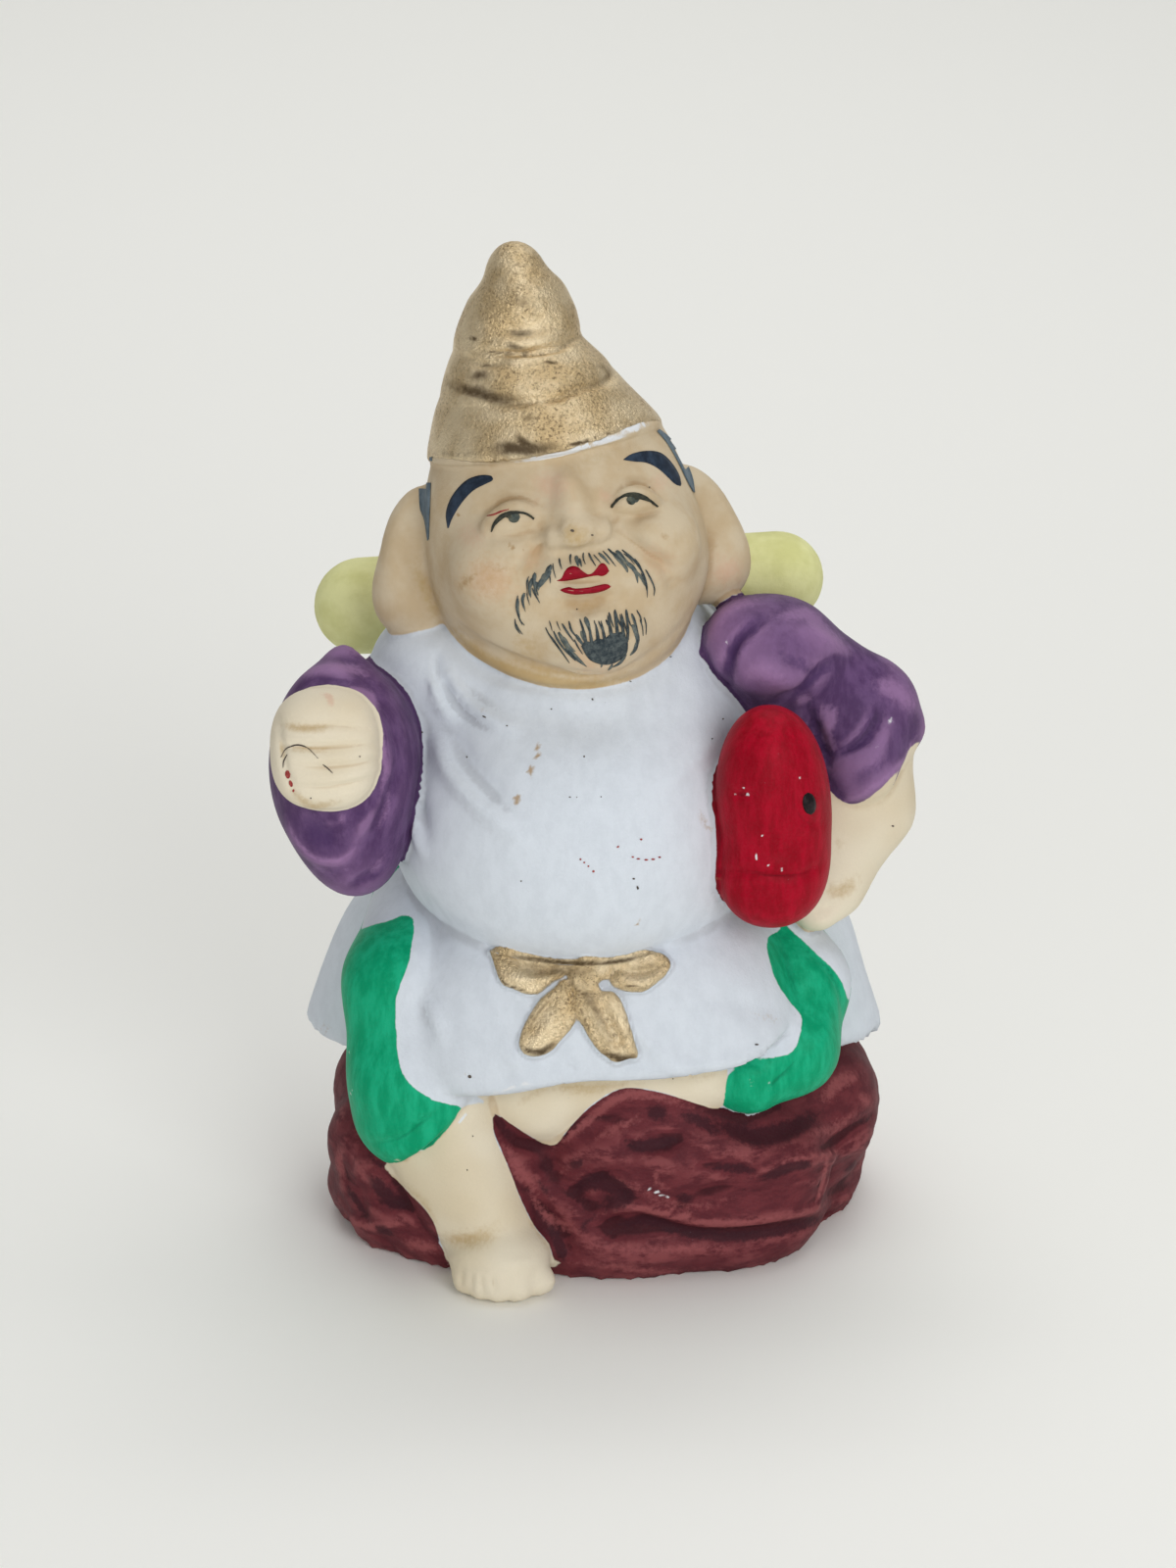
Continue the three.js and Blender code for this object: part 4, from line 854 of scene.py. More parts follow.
# WASHES, WEAR, PAINTED SHADE AND PAINTED HIGHLIGHT, brushed where the photograph shows them: line, width in mm,
# strength
washes = {
    # dark smudges on the gilt cap and bow: soot stains, and painted shade in the cap's folds, under its top knob and
    # where the bow tucks under the belly
    "sootAndShade": [
        ("cap", [(190, 880), (300, 925), (400, 950), (520, 985), (640, 985)], 0.8, 0.85),
        ("cap", [(330, 860), (400, 845), (460, 835)], 0.6, 0.8),
        ("cap", [(360, 910), (440, 930)], 0.5, 0.7),
        ("cap", [(1040, 800), (1100, 792), (1150, 835), (1100, 880), (980, 925)], 0.45, 0.6),
        ("cap", [(420, 1280), (560, 1270), (680, 1280), (860, 1262)], 0.8, 0.95),
        ("cap", [(600, 1190), (660, 1240), (720, 1260)], 0.5, 0.9),
        ("cap", [(850, 1275), (1000, 1232), (1210, 1165)], 0.2, 1.0),
        ("cap", [(100, 1300), (280, 1310), (450, 1300)], 0.25, 0.6),
        ("cap", [(335, 625), (385, 640)], 0.25, 1.0),
        ("cap", [(435, 512), (490, 492)], 0.2, 0.8),
        ("cap", [(570, 182), (630, 200)], 0.2, 0.8),
        ("cap", [(560, 590), (630, 602), (710, 596)], 0.4, 0.7),
        ("cap", [(540, 665), (600, 680), (660, 690)], 0.4, 0.7),
        ("cap", [(580, 380), (640, 420), (700, 400)], 0.7, 0.5),
        ("cap", [(770, 768), (850, 775)], 0.2, 0.9),
        ("cap", [(390, 790), (490, 790)], 0.2, 0.7),
        ("cap", [(400, 705), (560, 716), (700, 718)], 0.15, 0.8),
        ("cap", [(100, 1060), (150, 980), (170, 900)], 0.3, 0.5),
        ("cap", [(430, 430), (500, 460)], 0.5, 0.4),
        ("cap", [(640, 1090), (720, 1100)], 0.5, 0.5),
        ("lap", [(545, 192), (640, 204), (730, 214), (850, 210), (930, 190)], 0.3, 0.9),
        ("lap", [(530, 230), (560, 270), (620, 292)], 0.15, 0.9),
        ("lap", [(720, 240), (750, 290), (800, 290)], 0.2, 0.7),
        ("lap", [(860, 270), (930, 280)], 0.15, 0.8),
        ("lap", [(595, 430), (630, 455)], 0.15, 0.9),
        ("lap", [(820, 455), (860, 470), (900, 455)], 0.2, 0.9),
        ("lap", [(740, 300), (790, 420)], 0.15, 0.7),
        ("lap", [(870, 340), (895, 430)], 0.15, 0.6),
        ("lap", [(560, 215), (640, 232), (730, 235), (800, 240)], 0.8, 0.55),
        ("lap", [(860, 232), (920, 225), (970, 215)], 0.5, 0.5),
        ("lap", [(745, 260), (790, 330), (850, 440)], 0.7, 0.5),
        ("lap", [(600, 440), (650, 448), (690, 420)], 0.4, 0.9),
        ("lap", [(800, 445), (860, 462), (905, 458)], 0.35, 0.9),
        ("lap", [(690, 290), (640, 350), (606, 420)], 0.25, 0.6),
    ],
    # pale mauve along the sleeves' raised folds: painted highlight, partly paint worn thin over the high places
    "paleMauveAndHighlight": [
        ("arm", [(180, 240), (320, 205), (480, 205), (570, 250)], 0.6, 0.8),
        ("arm", [(450, 300), (560, 340), (600, 430)], 0.6, 1.0),
        ("arm", [(600, 430), (625, 560), (645, 700), (620, 820)], 0.4, 0.9),
        ("arm", [(160, 950), (210, 1060), (300, 1135), (420, 1150), (490, 1090)], 0.25, 0.9),
        ("arm", [(400, 930), (450, 950)], 0.7, 0.7),
        ("arm", [(240, 920), (260, 940)], 0.5, 0.6),
        ("arm", [(670, 790), (650, 900), (600, 1000)], 0.5, 0.6),
        ("arm", [(640, 1120), (600, 1190), (560, 1200)], 0.6, 0.6),
        ("arm", [(420, 1180), (480, 1200)], 0.4, 0.5),
        ("arm", [(330, 1120), (300, 1180), (400, 1220)], 0.4, 0.5),
        ("right", [(60, 420), (90, 330), (160, 270), (260, 262)], 0.8, 0.7),
        ("right", [(100, 400), (120, 440), (80, 440)], 0.6, 0.8),
        ("right", [(280, 310), (380, 300), (430, 350), (520, 420)], 0.9, 0.9),
        ("right", [(185, 520), (230, 480), (330, 520)], 1.0, 0.8),
        ("right", [(168, 425), (200, 368)], 0.25, 0.9),
        ("right", [(350, 582), (395, 562)], 0.5, 0.9),
        ("right", [(345, 600), (405, 700), (440, 800), (470, 910)], 0.3, 0.8),
        ("right", [(440, 590), (465, 620), (445, 680), (470, 730)], 0.6, 1.0),
        ("right", [(470, 750), (560, 705), (610, 640)], 0.25, 0.5),
        ("right", [(485, 905), (580, 862), (690, 770), (730, 680)], 0.4, 0.8),
        ("right", [(600, 520), (660, 540), (745, 610)], 1.2, 0.85),
        ("right", [(560, 640), (640, 720)], 0.6, 0.4),
        ("right", [(430, 250), (560, 350), (700, 500)], 0.9, 0.75),
    ],
    # dark plum along the grooves of the sleeves' folds: painted shade
    "sleeveShade": [
        ("arm", [(250, 960), (330, 1030), (400, 1060)], 1.4, 0.9),
        ("arm", [(700, 300), (760, 420), (770, 520)], 0.9, 0.5),
        ("arm", [(440, 110), (530, 160), (600, 210)], 0.5, 0.6),
        ("arm", [(500, 950), (560, 900)], 0.9, 0.5),
        ("arm", [(540, 1270), (600, 1220), (690, 1120)], 0.5, 0.6),
        ("right", [(130, 505), (150, 430), (235, 325)], 0.7, 0.9),
        ("right", [(270, 420), (380, 470), (420, 520)], 0.9, 0.7),
        ("right", [(340, 560), (400, 510), (460, 455)], 0.5, 0.9),
        ("right", [(395, 600), (425, 700), (455, 780)], 0.4, 0.9),
        ("right", [(490, 740), (570, 700), (605, 630)], 0.4, 0.9),
        ("right", [(520, 830), (600, 790), (640, 740)], 0.9, 0.5),
        ("right", [(500, 560), (540, 600)], 0.8, 0.4),
    ],
    # paler maroon along the rock's ridges and edges: partly a paler wash, partly painted highlight
    "paleWashAndHighlight": [
        ("rock", [(655, 350), (720, 300), (790, 240), (860, 205), (960, 215), (1060, 250)], 0.6, 0.9),
        ("rock", [(760, 330), (820, 300), (900, 260)], 0.7, 0.7),
        ("rock", [(500, 330), (540, 380), (570, 430), (640, 470)], 0.8, 0.8),
        ("rock", [(570, 430), (620, 520), (680, 560), (760, 600)], 0.5, 0.8),
        ("rock", [(660, 430), (700, 400), (760, 390)], 0.5, 0.6),
        ("rock", [(800, 525), (850, 508), (950, 530), (1100, 558), (1250, 545), (1420, 505)], 0.35, 1.0),
        ("rock", [(840, 430), (900, 470), (960, 500), (1050, 510), (1180, 480)], 0.7, 0.6),
        ("rock", [(940, 400), (930, 440), (980, 470)], 0.4, 0.8),
        ("rock", [(1020, 350), (1100, 350), (1180, 380), (1200, 420)], 0.5, 0.6),
        ("rock", [(1190, 425), (1300, 385), (1400, 368), (1500, 335)], 0.3, 0.9),
        ("rock", [(1400, 370), (1386, 440), (1364, 510)], 0.25, 1.0),
        ("rock", [(1380, 230), (1430, 170), (1490, 150)], 1.0, 0.8),
        ("rock", [(1300, 320), (1400, 300), (1500, 250)], 0.8, 0.6),
        ("rock", [(1480, 200), (1520, 240)], 0.6, 0.7),
        ("rock", [(1420, 440), (1480, 400), (1520, 350)], 0.5, 0.6),
        ("rock", [(700, 610), (850, 625), (1000, 625), (1180, 600)], 0.7, 0.7),
        ("rock", [(680, 660), (800, 670), (950, 690), (1100, 680)], 0.5, 0.7),
        ("rock", [(1060, 610), (1150, 640)], 1.0, 0.5),
        ("rock", [(75, 330), (70, 400), (90, 440)], 0.5, 0.8),
        ("rock", [(70, 520), (130, 560), (200, 560), (280, 540)], 0.5, 0.8),
        ("rock", [(90, 350), (140, 430), (200, 470)], 0.5, 0.7),
        ("rock", [(240, 600), (300, 620), (350, 620)], 0.8, 0.8),
        ("rock", [(75, 230), (80, 280)], 0.5, 0.6),
        ("rock", [(620, 520), (640, 560), (660, 600)], 0.3, 0.6),
        ("rock", [(1240, 350), (1300, 330)], 0.8, 0.5),
    ],
    # dark maroon in the rock's dents and grooves and along its bottom edge: painted shade
    "rockShade": [
        ("rock", [(700, 475), (770, 440), (850, 480), (770, 515)], 1.0, 1.0),
        ("rock", [(850, 335), (910, 345), (1000, 322)], 0.7, 1.0),
        ("rock", [(910, 245), (960, 265)], 0.9, 0.9),
        ("rock", [(690, 400), (740, 385)], 0.7, 0.7),
        ("rock", [(800, 575), (900, 545), (1000, 575), (1150, 592), (1300, 570), (1440, 520)], 0.6, 1.0),
        ("rock", [(980, 480), (1040, 495)], 0.6, 0.8),
        ("rock", [(1060, 400), (1160, 405), (1210, 415)], 0.6, 0.8),
        ("rock", [(1080, 275), (1200, 320), (1300, 300), (1380, 250)], 1.2, 0.9),
        ("rock", [(980, 250), (1060, 280), (1120, 330)], 0.9, 0.7),
        ("rock", [(1210, 440), (1290, 405), (1370, 390)], 0.6, 0.9),
        ("rock", [(640, 560), (670, 620), (680, 655)], 0.6, 1.0),
        ("rock", [(590, 420), (660, 500)], 0.5, 0.6),
        ("rock", [(85, 450), (115, 490), (145, 540)], 0.35, 1.0),
        ("rock", [(150, 420), (210, 490), (270, 510)], 0.9, 0.9),
        ("rock", [(160, 560), (220, 590)], 0.6, 0.7),
        ("rock", [(130, 330), (170, 380), (220, 420)], 0.7, 0.6),
        ("rock", [(100, 620), (250, 665), (370, 680)], 0.35, 0.8),
        ("rock", [(700, 690), (850, 715), (1050, 720), (1180, 690)], 0.3, 0.8),
        ("rock", [(1440, 420), (1490, 380)], 0.5, 0.7),
        ("rock", [(1520, 262), (1460, 305)], 0.3, 0.8),
        ("rock", [(780, 520), (740, 560), (720, 590)], 0.5, 0.6),
    ],
    "blush": [
        ("arm", [(330, 330), (370, 350), (380, 400)], 0.45, 0.8),
        ("face", [(640, 300), (600, 240), (560, 280)], 2.0, 0.7),
        ("face", [(200, 400), (260, 450), (320, 440)], 1.6, 0.5),
        ("face", [(230, 640), (330, 640), (420, 700)], 2.4, 0.7),
        ("face", [(560, 480), (520, 540), (580, 520)], 1.6, 0.35),
        ("face", [(960, 480), (1060, 560), (1130, 620)], 2.2, 0.4),
        ("face", [(1330, 560), (1380, 640)], 1.8, 0.8),
        ("face", [(1030, 180), (1100, 250)], 1.3, 0.5),
        ("face", [(700, 860), (760, 980), (900, 1000)], 2.0, 0.5),
        ("face", [(850, 260), (820, 300)], 1.0, 0.6),
    ],
    # yellow-brown under the jaw, nose and lower lip, on the cheeks and in the creases of the fist, wrist and ankle:
    # painted shade
    "skinShade": [
        ("face", [(180, 860), (260, 940), (400, 1020), (600, 1075), (780, 1090), (930, 1050)], 0.7, 1.0),
        ("face", [(420, 975), (560, 1022), (700, 1046), (850, 1055)], 0.35, 0.7),
        ("face", [(660, 400), (700, 450), (760, 470)], 1.2, 0.7),
        ("face", [(640, 745), (740, 752), (840, 725)], 0.7, 0.4),
        ("face", [(10, 560), (80, 700), (130, 820)], 1.0, 0.6),
        ("face", [(220, 560), (330, 640), (390, 720)], 2.6, 0.42),
        ("face", [(420, 890), (505, 926), (590, 930)], 2.0, 0.4),
        ("face", [(660, 140), (800, 100), (900, 70)], 1.6, 0.3),
        ("arm", [(140, 485), (250, 500), (380, 490)], 0.45, 0.8),
        ("arm", [(140, 600), (400, 605)], 0.35, 0.6),
        ("arm", [(180, 800), (280, 880), (420, 860)], 0.5, 0.7),
        ("arm", [(130, 560), (140, 660)], 0.3, 0.7),
        ("right", [(430, 1160), (490, 1180), (540, 1140)], 0.9, 0.7),
        ("right", [(500, 1010), (470, 1060)], 0.8, 0.4),
        ("rock", [(350, 595), (440, 600), (500, 570)], 1.0, 0.7),
        ("rock", [(560, 225), (640, 180), (760, 190), (900, 160)], 0.6, 0.7),
        ("rock", [(240, 440), (300, 500), (340, 570)], 0.5, 0.5),
        ("rock", [(560, 470), (600, 560), (650, 640)], 0.4, 0.5),
        ("rock", [(1000, 160), (1100, 150)], 0.5, 0.5),
    ],
    "bare": [
        ("cap", [(600, 1350), (740, 1330), (860, 1306), (960, 1280), (1100, 1238), (1200, 1202), (1340, 1140)], 0.24, 1.0),
        ("cap", [(1040, 1256), (1200, 1198), (1303, 1150), (1380, 1128)], 0.4, 1.0),
        ("rock", [(390, 290), (420, 250)], 0.15, 0.8),
        ("lap", [(440, 600), (520, 560), (620, 530), (700, 530), (820, 535)], 0.2, 0.6),
    ],
    "stain": [
        ("robe", [(632, 465), (640, 490)], 0.3, 1.0),
        ("robe", [(634, 505), (632, 520)], 0.28, 1.0),
        ("robe", [(606, 565), (600, 590)], 0.25, 1.0),
        ("robe", [(585, 625), (600, 612)], 0.22, 0.9),
        ("robe", [(560, 672)], 0.15, 0.8),
        ("robe", [(528, 705), (548, 716)], 0.34, 1.0),
        ("robe", [(545, 690), (535, 700)], 0.2, 0.7),
        ("robe", [(430, 930)], 0.2, 0.9),
        ("robe", [(1050, 1245), (1070, 1235)], 0.25, 0.7),
        ("robe", [(1320, 740), (1350, 800), (1395, 860)], 0.5, 0.45),
        ("robe", [(1400, 1030), (1420, 1060)], 0.5, 0.35),
        ("robe", [(370, 300), (420, 330)], 0.4, 0.35),
        ("robe", [(180, 690), (230, 700)], 1.0, 0.25),
        ("lap", [(430, 510), (480, 512)], 0.5, 0.3),
        ("lap", [(1190, 340), (1290, 370)], 0.8, 0.3),
        ("lap", [(900, 100), (910, 110)], 0.3, 0.6),
        ("lap", [(60, 380), (100, 400)], 1.0, 0.35),
        ("face", [(200, 690), (240, 640), (280, 620)], 0.5, 0.6),
        ("face", [(420, 480), (440, 510)], 0.2, 0.9),
        ("face", [(480, 515)], 0.15, 0.8),
        ("face", [(1065, 430), (1110, 470)], 0.5, 0.4),
        ("face", [(200, 360)], 0.2, 0.8),
        ("face", [(320, 570), (440, 600)], 0.6, 0.4),
    ],
    "worn": [  # paint rubbed off the high places, white clay underneath
        ("lap", [(150, 545), (153, 560)], 0.2, 0.9),
        ("lap", [(140, 420), (150, 480)], 0.3, 0.4),
        ("lap", [(1180, 480), (1220, 560)], 0.7, 0.45),
        ("lap", [(1260, 500), (1240, 560)], 0.4, 0.5),
        ("rock", [(940, 375), (930, 400)], 0.2, 0.9),
        ("rock", [(900, 450), (930, 470), (980, 490)], 0.25, 0.8),
        ("rock", [(1018, 425)], 0.15, 1.0),
        ("right", [(640, 650), (665, 630)], 0.35, 0.7),
        ("right", [(600, 715), (620, 725)], 0.35, 0.6),
        ("right", [(125, 385)], 0.25, 0.7),
        ("right", [(240, 1002)], 0.12, 0.9),
        ("right", [(222, 1060), (225, 1085)], 0.14, 1.0),
        ("right", [(225, 1135), (242, 1133)], 0.16, 1.0),
        ("right", [(262, 1098)], 0.12, 0.8),
        ("right", [(300, 1102), (308, 1118)], 0.14, 0.9),
        ("right", [(358, 828), (372, 812)], 0.16, 0.8),
        ("right", [(150, 872), (168, 880)], 0.16, 0.9),
        ("right", [(180, 852)], 0.14, 0.9),
        ("right", [(188, 878), (203, 868)], 0.16, 1.0),
    ],
}


# THE FIGURE'S SKIN
fineSpots = {  # boxes of the photograph where the skin is cut finer, left, top, right, bottom
    "face": (425, 462, 722, 706),
    "bow": (496, 960, 692, 1088),
    "fist": (270, 698, 394, 832),
    "foot": (450, 1270, 590, 1330),
    "fish": (732, 790, 856, 950),
    "crown": (470, 325, 640, 425),
    "brim": (520, 425, 680, 465),
    "hem": (385, 1120, 480, 1200),
}


def cutFiner(mesh):
    spots, shown = picture(verticesOf(mesh)), inSight(mesh)
    fine = np.zeros(len(spots), bool)
    for left, top, right, bottom in fineSpots.values():
        fine |= (spots[:, 0] > left) & (spots[:, 0] < right) & (spots[:, 1] > top) & (spots[:, 1] < bottom) & (shown > 0)
    bm = bmesh.new()
    bm.from_mesh(mesh)
    edges = [e for e in bm.edges if fine[e.verts[0].index] and fine[e.verts[1].index]]
    bmesh.ops.subdivide_edges(bm, edges=edges, cuts=1, use_grid_fill=True)
    bmesh.ops.triangulate(bm, faces=[f for f in bm.faces if len(f.verts) > 4])
    bm.to_mesh(mesh)
    bm.free()


# The skin starts as a net drawn over points that fill the figure, all in mm
filling = {
    "spacing": 0.8,
    "depth": 0.7,  # how deep inside the figure a point lies at least
    "reach": 0.9,  # how far around each point the clay goes
    "grain": 0.4,
}


def fillingPoints():
    low, high = (toLayout(np.array(corner)) for corner in cadBox)
    steps = [np.arange(a, b, filling["spacing"]) for a, b in zip(low, high)]
    heap = np.stack(np.meshgrid(*steps, indexing="ij"), -1).reshape(-1, 3)
    return heap[sculptDepth(heap) < -filling["depth"]]


def overPoints():  # geometry nodes that draw a skin over a heap of points
    tree = bpy.data.node_groups.new("overPoints", "GeometryNodeTree")
    for side in ("INPUT", "OUTPUT"):
        tree.interface.new_socket("Geometry", in_out=side, socket_type="NodeSocketGeometry")
    kinds = ["NodeGroupInput", "GeometryNodeMeshToPoints", "GeometryNodePointsToVolume"]
    kinds += ["GeometryNodeVolumeToMesh", "NodeGroupOutput"]
    steps = [tree.nodes.new(kind) for kind in kinds]
    for before, after in zip(steps[:-1], steps[1:]):
        tree.links.new(before.outputs[0], after.inputs[0])
    steps[2].resolution_mode = "VOXEL_SIZE"
    steps[2].inputs["Voxel Size"].default_value = filling["grain"] * mm
    steps[2].inputs["Radius"].default_value = filling["reach"] * mm
    steps[3].inputs["Threshold"].default_value = 0.1
    return tree


def placed(mesh):
    lump = bpy.data.objects.new(mesh.name, mesh)
    scene.collection.objects.link(lump)
    return lump


def finished(lump):  # the mesh that the object's modifiers make of it, on its own
    bpy.context.view_layer.update()
    made = bpy.data.meshes.new_from_object(lump.evaluated_get(bpy.context.evaluated_depsgraph_get()))
    bpy.data.objects.remove(lump)
    return made


def roughFigure():
    heap = bpy.data.meshes.new("fillingPoints")
    heap.from_pydata([tuple(p) for p in toFrame(fillingPoints())], [], [])
    lump = placed(heap)
    lump.modifiers.new("overPoints", "NODES").node_group = overPoints()
    rough = finished(lump)
    points = verticesOf(rough)
    points[:, 2] = np.maximum(points[:, 2], 0)  # flat where it stands on the table
    setVertices(rough, points)
    lump = placed(rough)
    remesh = lump.modifiers.new("net", "REMESH")
    remesh.mode = "VOXEL"
    remesh.voxel_size = layout["voxel"] * mm
    net = finished(lump)
    net.name = "dollFigure"
    print("net over", len(heap.vertices), "points:", len(net.vertices), "vertices")
    return net


def relax(mesh, times, factor=0.5):
    bm = bmesh.new()
    bm.from_mesh(mesh)
    free = [v for v in bm.verts if v.co.z > 0.02 * mm]
    for turn in range(times):
        bmesh.ops.smooth_vert(bm, verts=free, factor=factor, use_axis_x=True, use_axis_y=True, use_axis_z=True)
    bm.to_mesh(mesh)
    bm.free()


def settleMesh(mesh, rounds):
    points = toLayout(verticesOf(mesh))
    under = points[:, 2] < 0.3 * layout["voxel"]
    points = settle(points, rounds, under)
    points[under, 2] = 0
    setVertices(mesh, toFrame(points))


def ownDepths(points):
    found = depths(points)
    owners = {}
    for name in found:
        other = np.min([found[n] for n in found if n != name], axis=0)
        owners[name] = np.clip((other - found[name]) / 0.8 + 0.5, 0, 1)
    return found, owners


def pressRelief(mesh):
    points, normals = verticesOf(mesh), normalsOf(mesh)
    spots, shown = picture(points), inSight(mesh)
    owners = ownDepths(toLayout(points))[1]
    raised = np.zeros(len(points))
    for name, strokes in relief.items():
        for crop, path, width, height in strokes:
            raised += owners[name] * height * deepen.get(name, 1) * brushed(spots, crop, path, width)
    for crop, outline, depth, rim in rockDents:
        raised -= owners["rock"] * depth * np.clip(insideBy(spots, crop, outline) / rim + 0.3, 0, 1)
    proud = np.max([insideBy(spots, "lap", part) for part in bow["parts"]], axis=0)
    tread = np.clip(proud / bow["rim"] + 0.5, 0, 1)
    raised += bow["rise"] * tread * tread * (3 - 2 * tread)
    for crop, path, width, height in bow["lines"]:
        raised += tread * height * brushed(spots, crop, path, width)
    moved = points + normals * (raised * shown * mm)[:, None]
    moved[:, 2] = np.maximum(moved[:, 2], 0)
    setVertices(mesh, moved)


skin = roughFigure()
settleMesh(skin, 3)
relax(skin, 2)
settleMesh(skin, 2)
cutFiner(skin)
settleMesh(skin, 1)
pressRelief(skin)
relax(skin, 1, 0.35)
skin.shade_smooth()
print("figure skin:", len(skin.vertices), "vertices,", sum(len(f.vertices) - 2 for f in skin.polygons), "triangles")


def setAttribute(mesh, name, values):
    mesh.attributes.new(name, "FLOAT", "POINT").data.foreach_set("value", values.astype(np.float32))


def evened(mesh, values, rounds, share=0.5):  # each value drawn towards its neighbours
    ends = np.empty(len(mesh.edges) * 2, np.int32)
    mesh.edges.foreach_get("vertices", ends)
    a, b = ends.reshape(-1, 2).T
    count = np.bincount(a, minlength=len(values)) + np.bincount(b, minlength=len(values))
    for turn in range(rounds):
        total = np.bincount(a, values[b], len(values)) + np.bincount(b, values[a], len(values))
        values = (1 - share) * values + share * total / count
    return values


def standing(mesh, points, normals, rounds):  # mm that a place stands above its smoothed surroundings
    smooth = np.stack([evened(mesh, points[:, k], rounds, 0.6) for k in range(3)], 1)
    return ((points - smooth) * normals).sum(1) / mm


def paintSkin(mesh):
    points, normals, shown = verticesOf(mesh), normalsOf(mesh), evened(mesh, inSight(mesh, 0.1), 2)
    spots, found = picture(points), depths(toLayout(points))
    local = toHead(toLayout(points))
    for paint, names in volumeNames.items():
        own = np.min([found[name] for name in names], axis=0)
        other = np.min([found[name] for name in found if name not in names], axis=0)
        margin = np.clip(other - own, -1, 1)
        if paint == "gold":
            atHead = np.minimum(found["cap"], found["face"]) < 1
            margin = np.where(atHead & (local[:, 2] > 7), np.clip(local[:, 2] - cap["brim"], -1, 1), -1)
        if paint in areas:
            traces = np.max([insideBy(spots, crop, outline) for crop, outline in areas[paint]], axis=0)
            kept = alsoOwn.get(paint, [])
            if kept:
                rest = np.min([found[name] for name in found if name not in kept], axis=0)
                traces = np.maximum(traces, rest - np.min([found[name] for name in kept], axis=0))
            margin = shown * np.clip(traces, -1, 1) + (1 - shown) * (margin - shy.get(paint, 0))
            barred = np.min([found[name] for name in offLimits.get(paint, [])] + [np.full(len(points), 9.0)], axis=0)
            margin = np.minimum(margin, barred - np.min([found[n] for n in found if n not in offLimits.get(paint, [])], axis=0))
        setAttribute(mesh, paint, evened(mesh, margin, 2))
    for wash, strokes in washes.items():
        laid = np.zeros(len(points))
        for crop, path, width, strength in strokes:
            laid = np.maximum(laid, strength * brushed(spots, crop, path, width))
        setAttribute(mesh, wash, laid * shown)
    setAttribute(mesh, "standingFine", standing(mesh, points, normals, 4))
    setAttribute(mesh, "standingBroad", standing(mesh, points, normals, 25))
    setAttribute(mesh, "shown", shown)


paintSkin(skin)
figure = bpy.data.objects.new("dollFigure", skin)
scene.collection.objects.link(figure)
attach(figure, "root")
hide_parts("ebisu_doll")
print("paint laid out on the skin")

# PAINTED LINES, placed where the photograph shows them and laid on the clay
clay = treeOf(skin)
paintFilm = {"lift": 0.05, "thickness": 0.07}  # mm that a painted line stands on the clay, and its thickness


def onDoll(px, py):  # the clay's surface under a pixel of the photograph, and its normal
    x = (px - photo["width"] / 2) / photo["focal"]
    y = (photo["height"] / 2 - py) / photo["focal"]
    place, normal, index, distance = clay.ray_cast(camera.location, (forward + sideways * x + upwards * y).normalized())
    return place, normal


def paintPatch(bm, upper, lower, columns, rows, lift=1.0):  # a patch between two lines of photo pixels
    top, bottom = smoothPath(upper, columns), smoothPath(lower, columns)
    made = bmesh.ops.create_grid(bm, x_segments=columns, y_segments=rows, size=1)["verts"]
    lost = []
    for vert in made:
        column, row = round((vert.co.x + 1) / 2 * columns), (vert.co.y + 1) / 2
        px, py = bottom[column] * (1 - row) + top[column] * row
        place, normal = onDoll(px, py)
        if place is None:
            lost.append(vert)
        else:
            vert.co = place + normal * paintFilm["lift"] * lift * mm
    bmesh.ops.delete(bm, geom=lost, context="VERTS")


def dot(bm, px, py, wide, tall, turn=0.0, columns=8, rows=4, lift=1.0):  # a round or oval spot of paint
    t = np.linspace(-1, 1, columns + 1)
    reach = np.sqrt(np.maximum(1 - t * t, 0.006))
    along, across = np.array([np.cos(radians(turn)), np.sin(radians(turn))]), np.array([-np.sin(radians(turn)), np.cos(radians(turn))])
    middle = np.array([px, py]) + wide * t[:, None] * along
    paintPatch(bm, middle - tall * reach[:, None] * across, middle + tall * reach[:, None] * across, columns, rows, lift)


def stroke(bm, path, width, columns=10, shape=lambda t: np.sin(pi * np.clip(t, 0.06, 0.94)) ** 0.6, lift=1.0):
    points = smoothPath(path, columns)
    along = np.gradient(points, axis=0)
    across = np.stack([-along[:, 1], along[:, 0]], 1) / (np.linalg.norm(along, axis=1)[:, None] + 1e-9)
    half = width / 2 * shape(np.linspace(0, 1, columns + 1))[:, None]
    paintPatch(bm, points - across * half, points + across * half, columns, 1, lift)


def hairShape(t):  # a brush hair that starts blunt and ends in a point
    return np.clip(np.minimum(0.45 + 3 * t, 1.3 * (1 - t) ** 0.6 + 0.03), 0.03, 1)


def paintPiece(name, build, material):
    bm = bmesh.new()
    build(bm)
    mesh = bpy.data.meshes.new(name)
    bm.to_mesh(mesh)
    bm.free()
    mesh.shade_smooth()
    mesh.materials.append(material)
    piece = bpy.data.objects.new(name, mesh)
    scene.collection.objects.link(piece)
    solid = piece.modifiers.new("thickness", "SOLIDIFY")
    solid.thickness = paintFilm["thickness"] * mm
    solid.offset = -1
    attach(piece, "root")
    return piece


